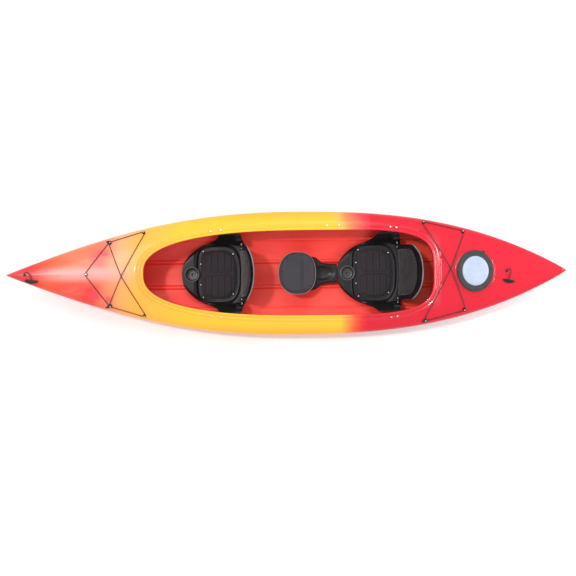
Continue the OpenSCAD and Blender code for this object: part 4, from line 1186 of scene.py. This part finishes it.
def knot(name, x, y, yaw):
    """An overhand knot at the end of a shock cord, with its short tail."""
    n = deck_normal(x, y)
    base = Vector((x, y, float(deck_z(x, y)))) + n * BUNGEE_D
    turn = n.to_track_quat("Z", "Y") @ Matrix.Rotation(yaw, 3, "Z").to_quaternion()
    t = np.linspace(0.15, 2 * math.pi - 0.15, 40)
    loop = np.column_stack([np.sin(t) + 1.7 * np.sin(2 * t), np.cos(t) - 1.7 * np.cos(2 * t),
                            -1.1 * np.sin(3 * t)]) * 3.4
    tail = [(10, 6, 0), (15, 8, -1), (20, 9, -1.5)]
    path = [turn @ Vector(p) + base for p in [*loop, *tail]]
    cord = tube(name, curve([tuple(p) for p in path], 2), BUNGEE_D / 2 - 0.4, BUNGEE, "hull", sides=10)


# Each loose end: its button, the button that its run comes from, the side of the neck, and the
# place and yaw of the knot. Two ends that share a knot have one yaw.
LINE_ENDS = {
    "bow_line_end_starboard": ((1290, -226), (1458, 0), -1, (1310, -236), 170),
    "bow_line_end_port": ((1290, 226), (1045, -301), 1, (1312, 236), 190),
    "stern_line_end_fore": ((-1018, 354), (-1298, -288), 1, (-1003, 367), 40),
    "stern_line_end_aft": ((-1018, 354), (-1303, 280), -1, (-1003, 367), None),
}
for label, (button, other, side, at, yaw) in LINE_ENDS.items():
    line_end(label, button, other, side, at)
    if yaw is not None:
        knot(f"{label}_knot", *at, math.radians(yaw))


# ---- finishes of the CAD nodes that stay ----

def finish_nodes():
    """A material for each CAD node that stays, rounded edges on the square ones."""
    plain = {
        "bow_flotation_block": FOAM, "stern_bulkhead": FOAM,
        "hatch_ring": BLACK_PLASTIC, "hatch_gasket": SEAL_RUBBER, "hatch_ring_screws": STEEL,
        "drain_plug_seat": BLACK_PLASTIC, "drain_plug": BLACK_PLASTIC,
        "drain_plug_washer": SEAL_RUBBER,
        "foot_rail_bolts": STEEL, "solo_position_bolts": STEEL,
    }
    for end in ("bow", "stern"):
        plain |= {f"{end}_{part}": BLACK_PLASTIC for part in ("rope_grommet", "toggle", "deck_buttons")}
        plain |= {f"{end}_button_screws": STEEL, f"{end}_bungee": BUNGEE}
    for seat in SEATS:
        plain[f"{seat}_seat_riser"] = FOAM
        plain[f"{seat}_seat_brackets"] = ALUMINIUM
        plain[f"{seat}_bracket_bolts"] = STEEL
        plain[f"{seat}_backrest_bolts"] = STEEL
        for _, label in SIDES:
            plain[f"{seat}_foot_rail_{label}"] = BLACK_PLASTIC
            plain[f"{seat}_foot_pedal_{label}"] = GREY_PLASTIC
    for name, material in plain.items():
        obj = CAD[name]
        for slot in obj.material_slots:
            slot.material = material
        joined = obj.modifiers.new("weld", "WELD")
        joined.merge_threshold = 0.00002
        if "bungee" in name:
            rounder = obj.modifiers.new("round", "SUBSURF")
            rounder.levels = rounder.render_levels = 1
        elif "toggle" not in name:
            edge = obj.modifiers.new("edges", "BEVEL")
            edge.width = 0.0012 if "rail" in name or "pedal" in name else 0.0005
            edge.segments = 2
            edge.limit_method = "ANGLE"
            edge.angle_limit = math.radians(40)


finish_nodes()


# ---- studio ----

def lamp(name, kind, energy, away):
    """A light that shines against the direction away."""
    light = bpy.data.lights.new(name, kind)
    light.energy = energy
    obj = added(name, light)
    obj.rotation_mode = "QUATERNION"
    obj.rotation_quaternion = Vector(away).to_track_quat("Z", "Y")
    return obj


def make_studio():
    floor = added("floor", bpy.data.meshes.new("floor"))
    size = 14
    corners = [(-size, -size, 0), (size, -size, 0), (size, size, 0), (-size, size, 0)]
    floor.data.from_pydata(corners, [], [(0, 1, 2, 3)])
    floor.data.materials.append(floor_finish())
    floor.location.z = -0.002
    world = bpy.data.worlds.new("studio")
    bpy.context.scene.world = world
    world.use_nodes = True
    background = world.node_tree.nodes["Background"]
    background.inputs["Color"].default_value = (1, 1, 1, 1)
    background.inputs["Strength"].default_value = 0.94
    lamp("key", "SUN", 1.2, (0.36, -0.18, 1)).data.angle = math.radians(5)
    boxes = (("softbox", (0.8, -2.2, 3.6), (4.5, 1.2), 40, (0, 0, 0.3)),
             ("strip_aft", (-4.2, -0.3, 2.4), (2.6, 0.8), 75, (-1.1, 0, 0.3)))
    for name, place, size, energy, aim in boxes:
        box = lamp(name, "AREA", energy, Vector(place) - Vector(aim))
        box.location = place
        box.data.shape = "RECTANGLE"
        box.data.size, box.data.size_y = size
    bpy.context.scene.view_settings.view_transform = "Standard"


make_studio()
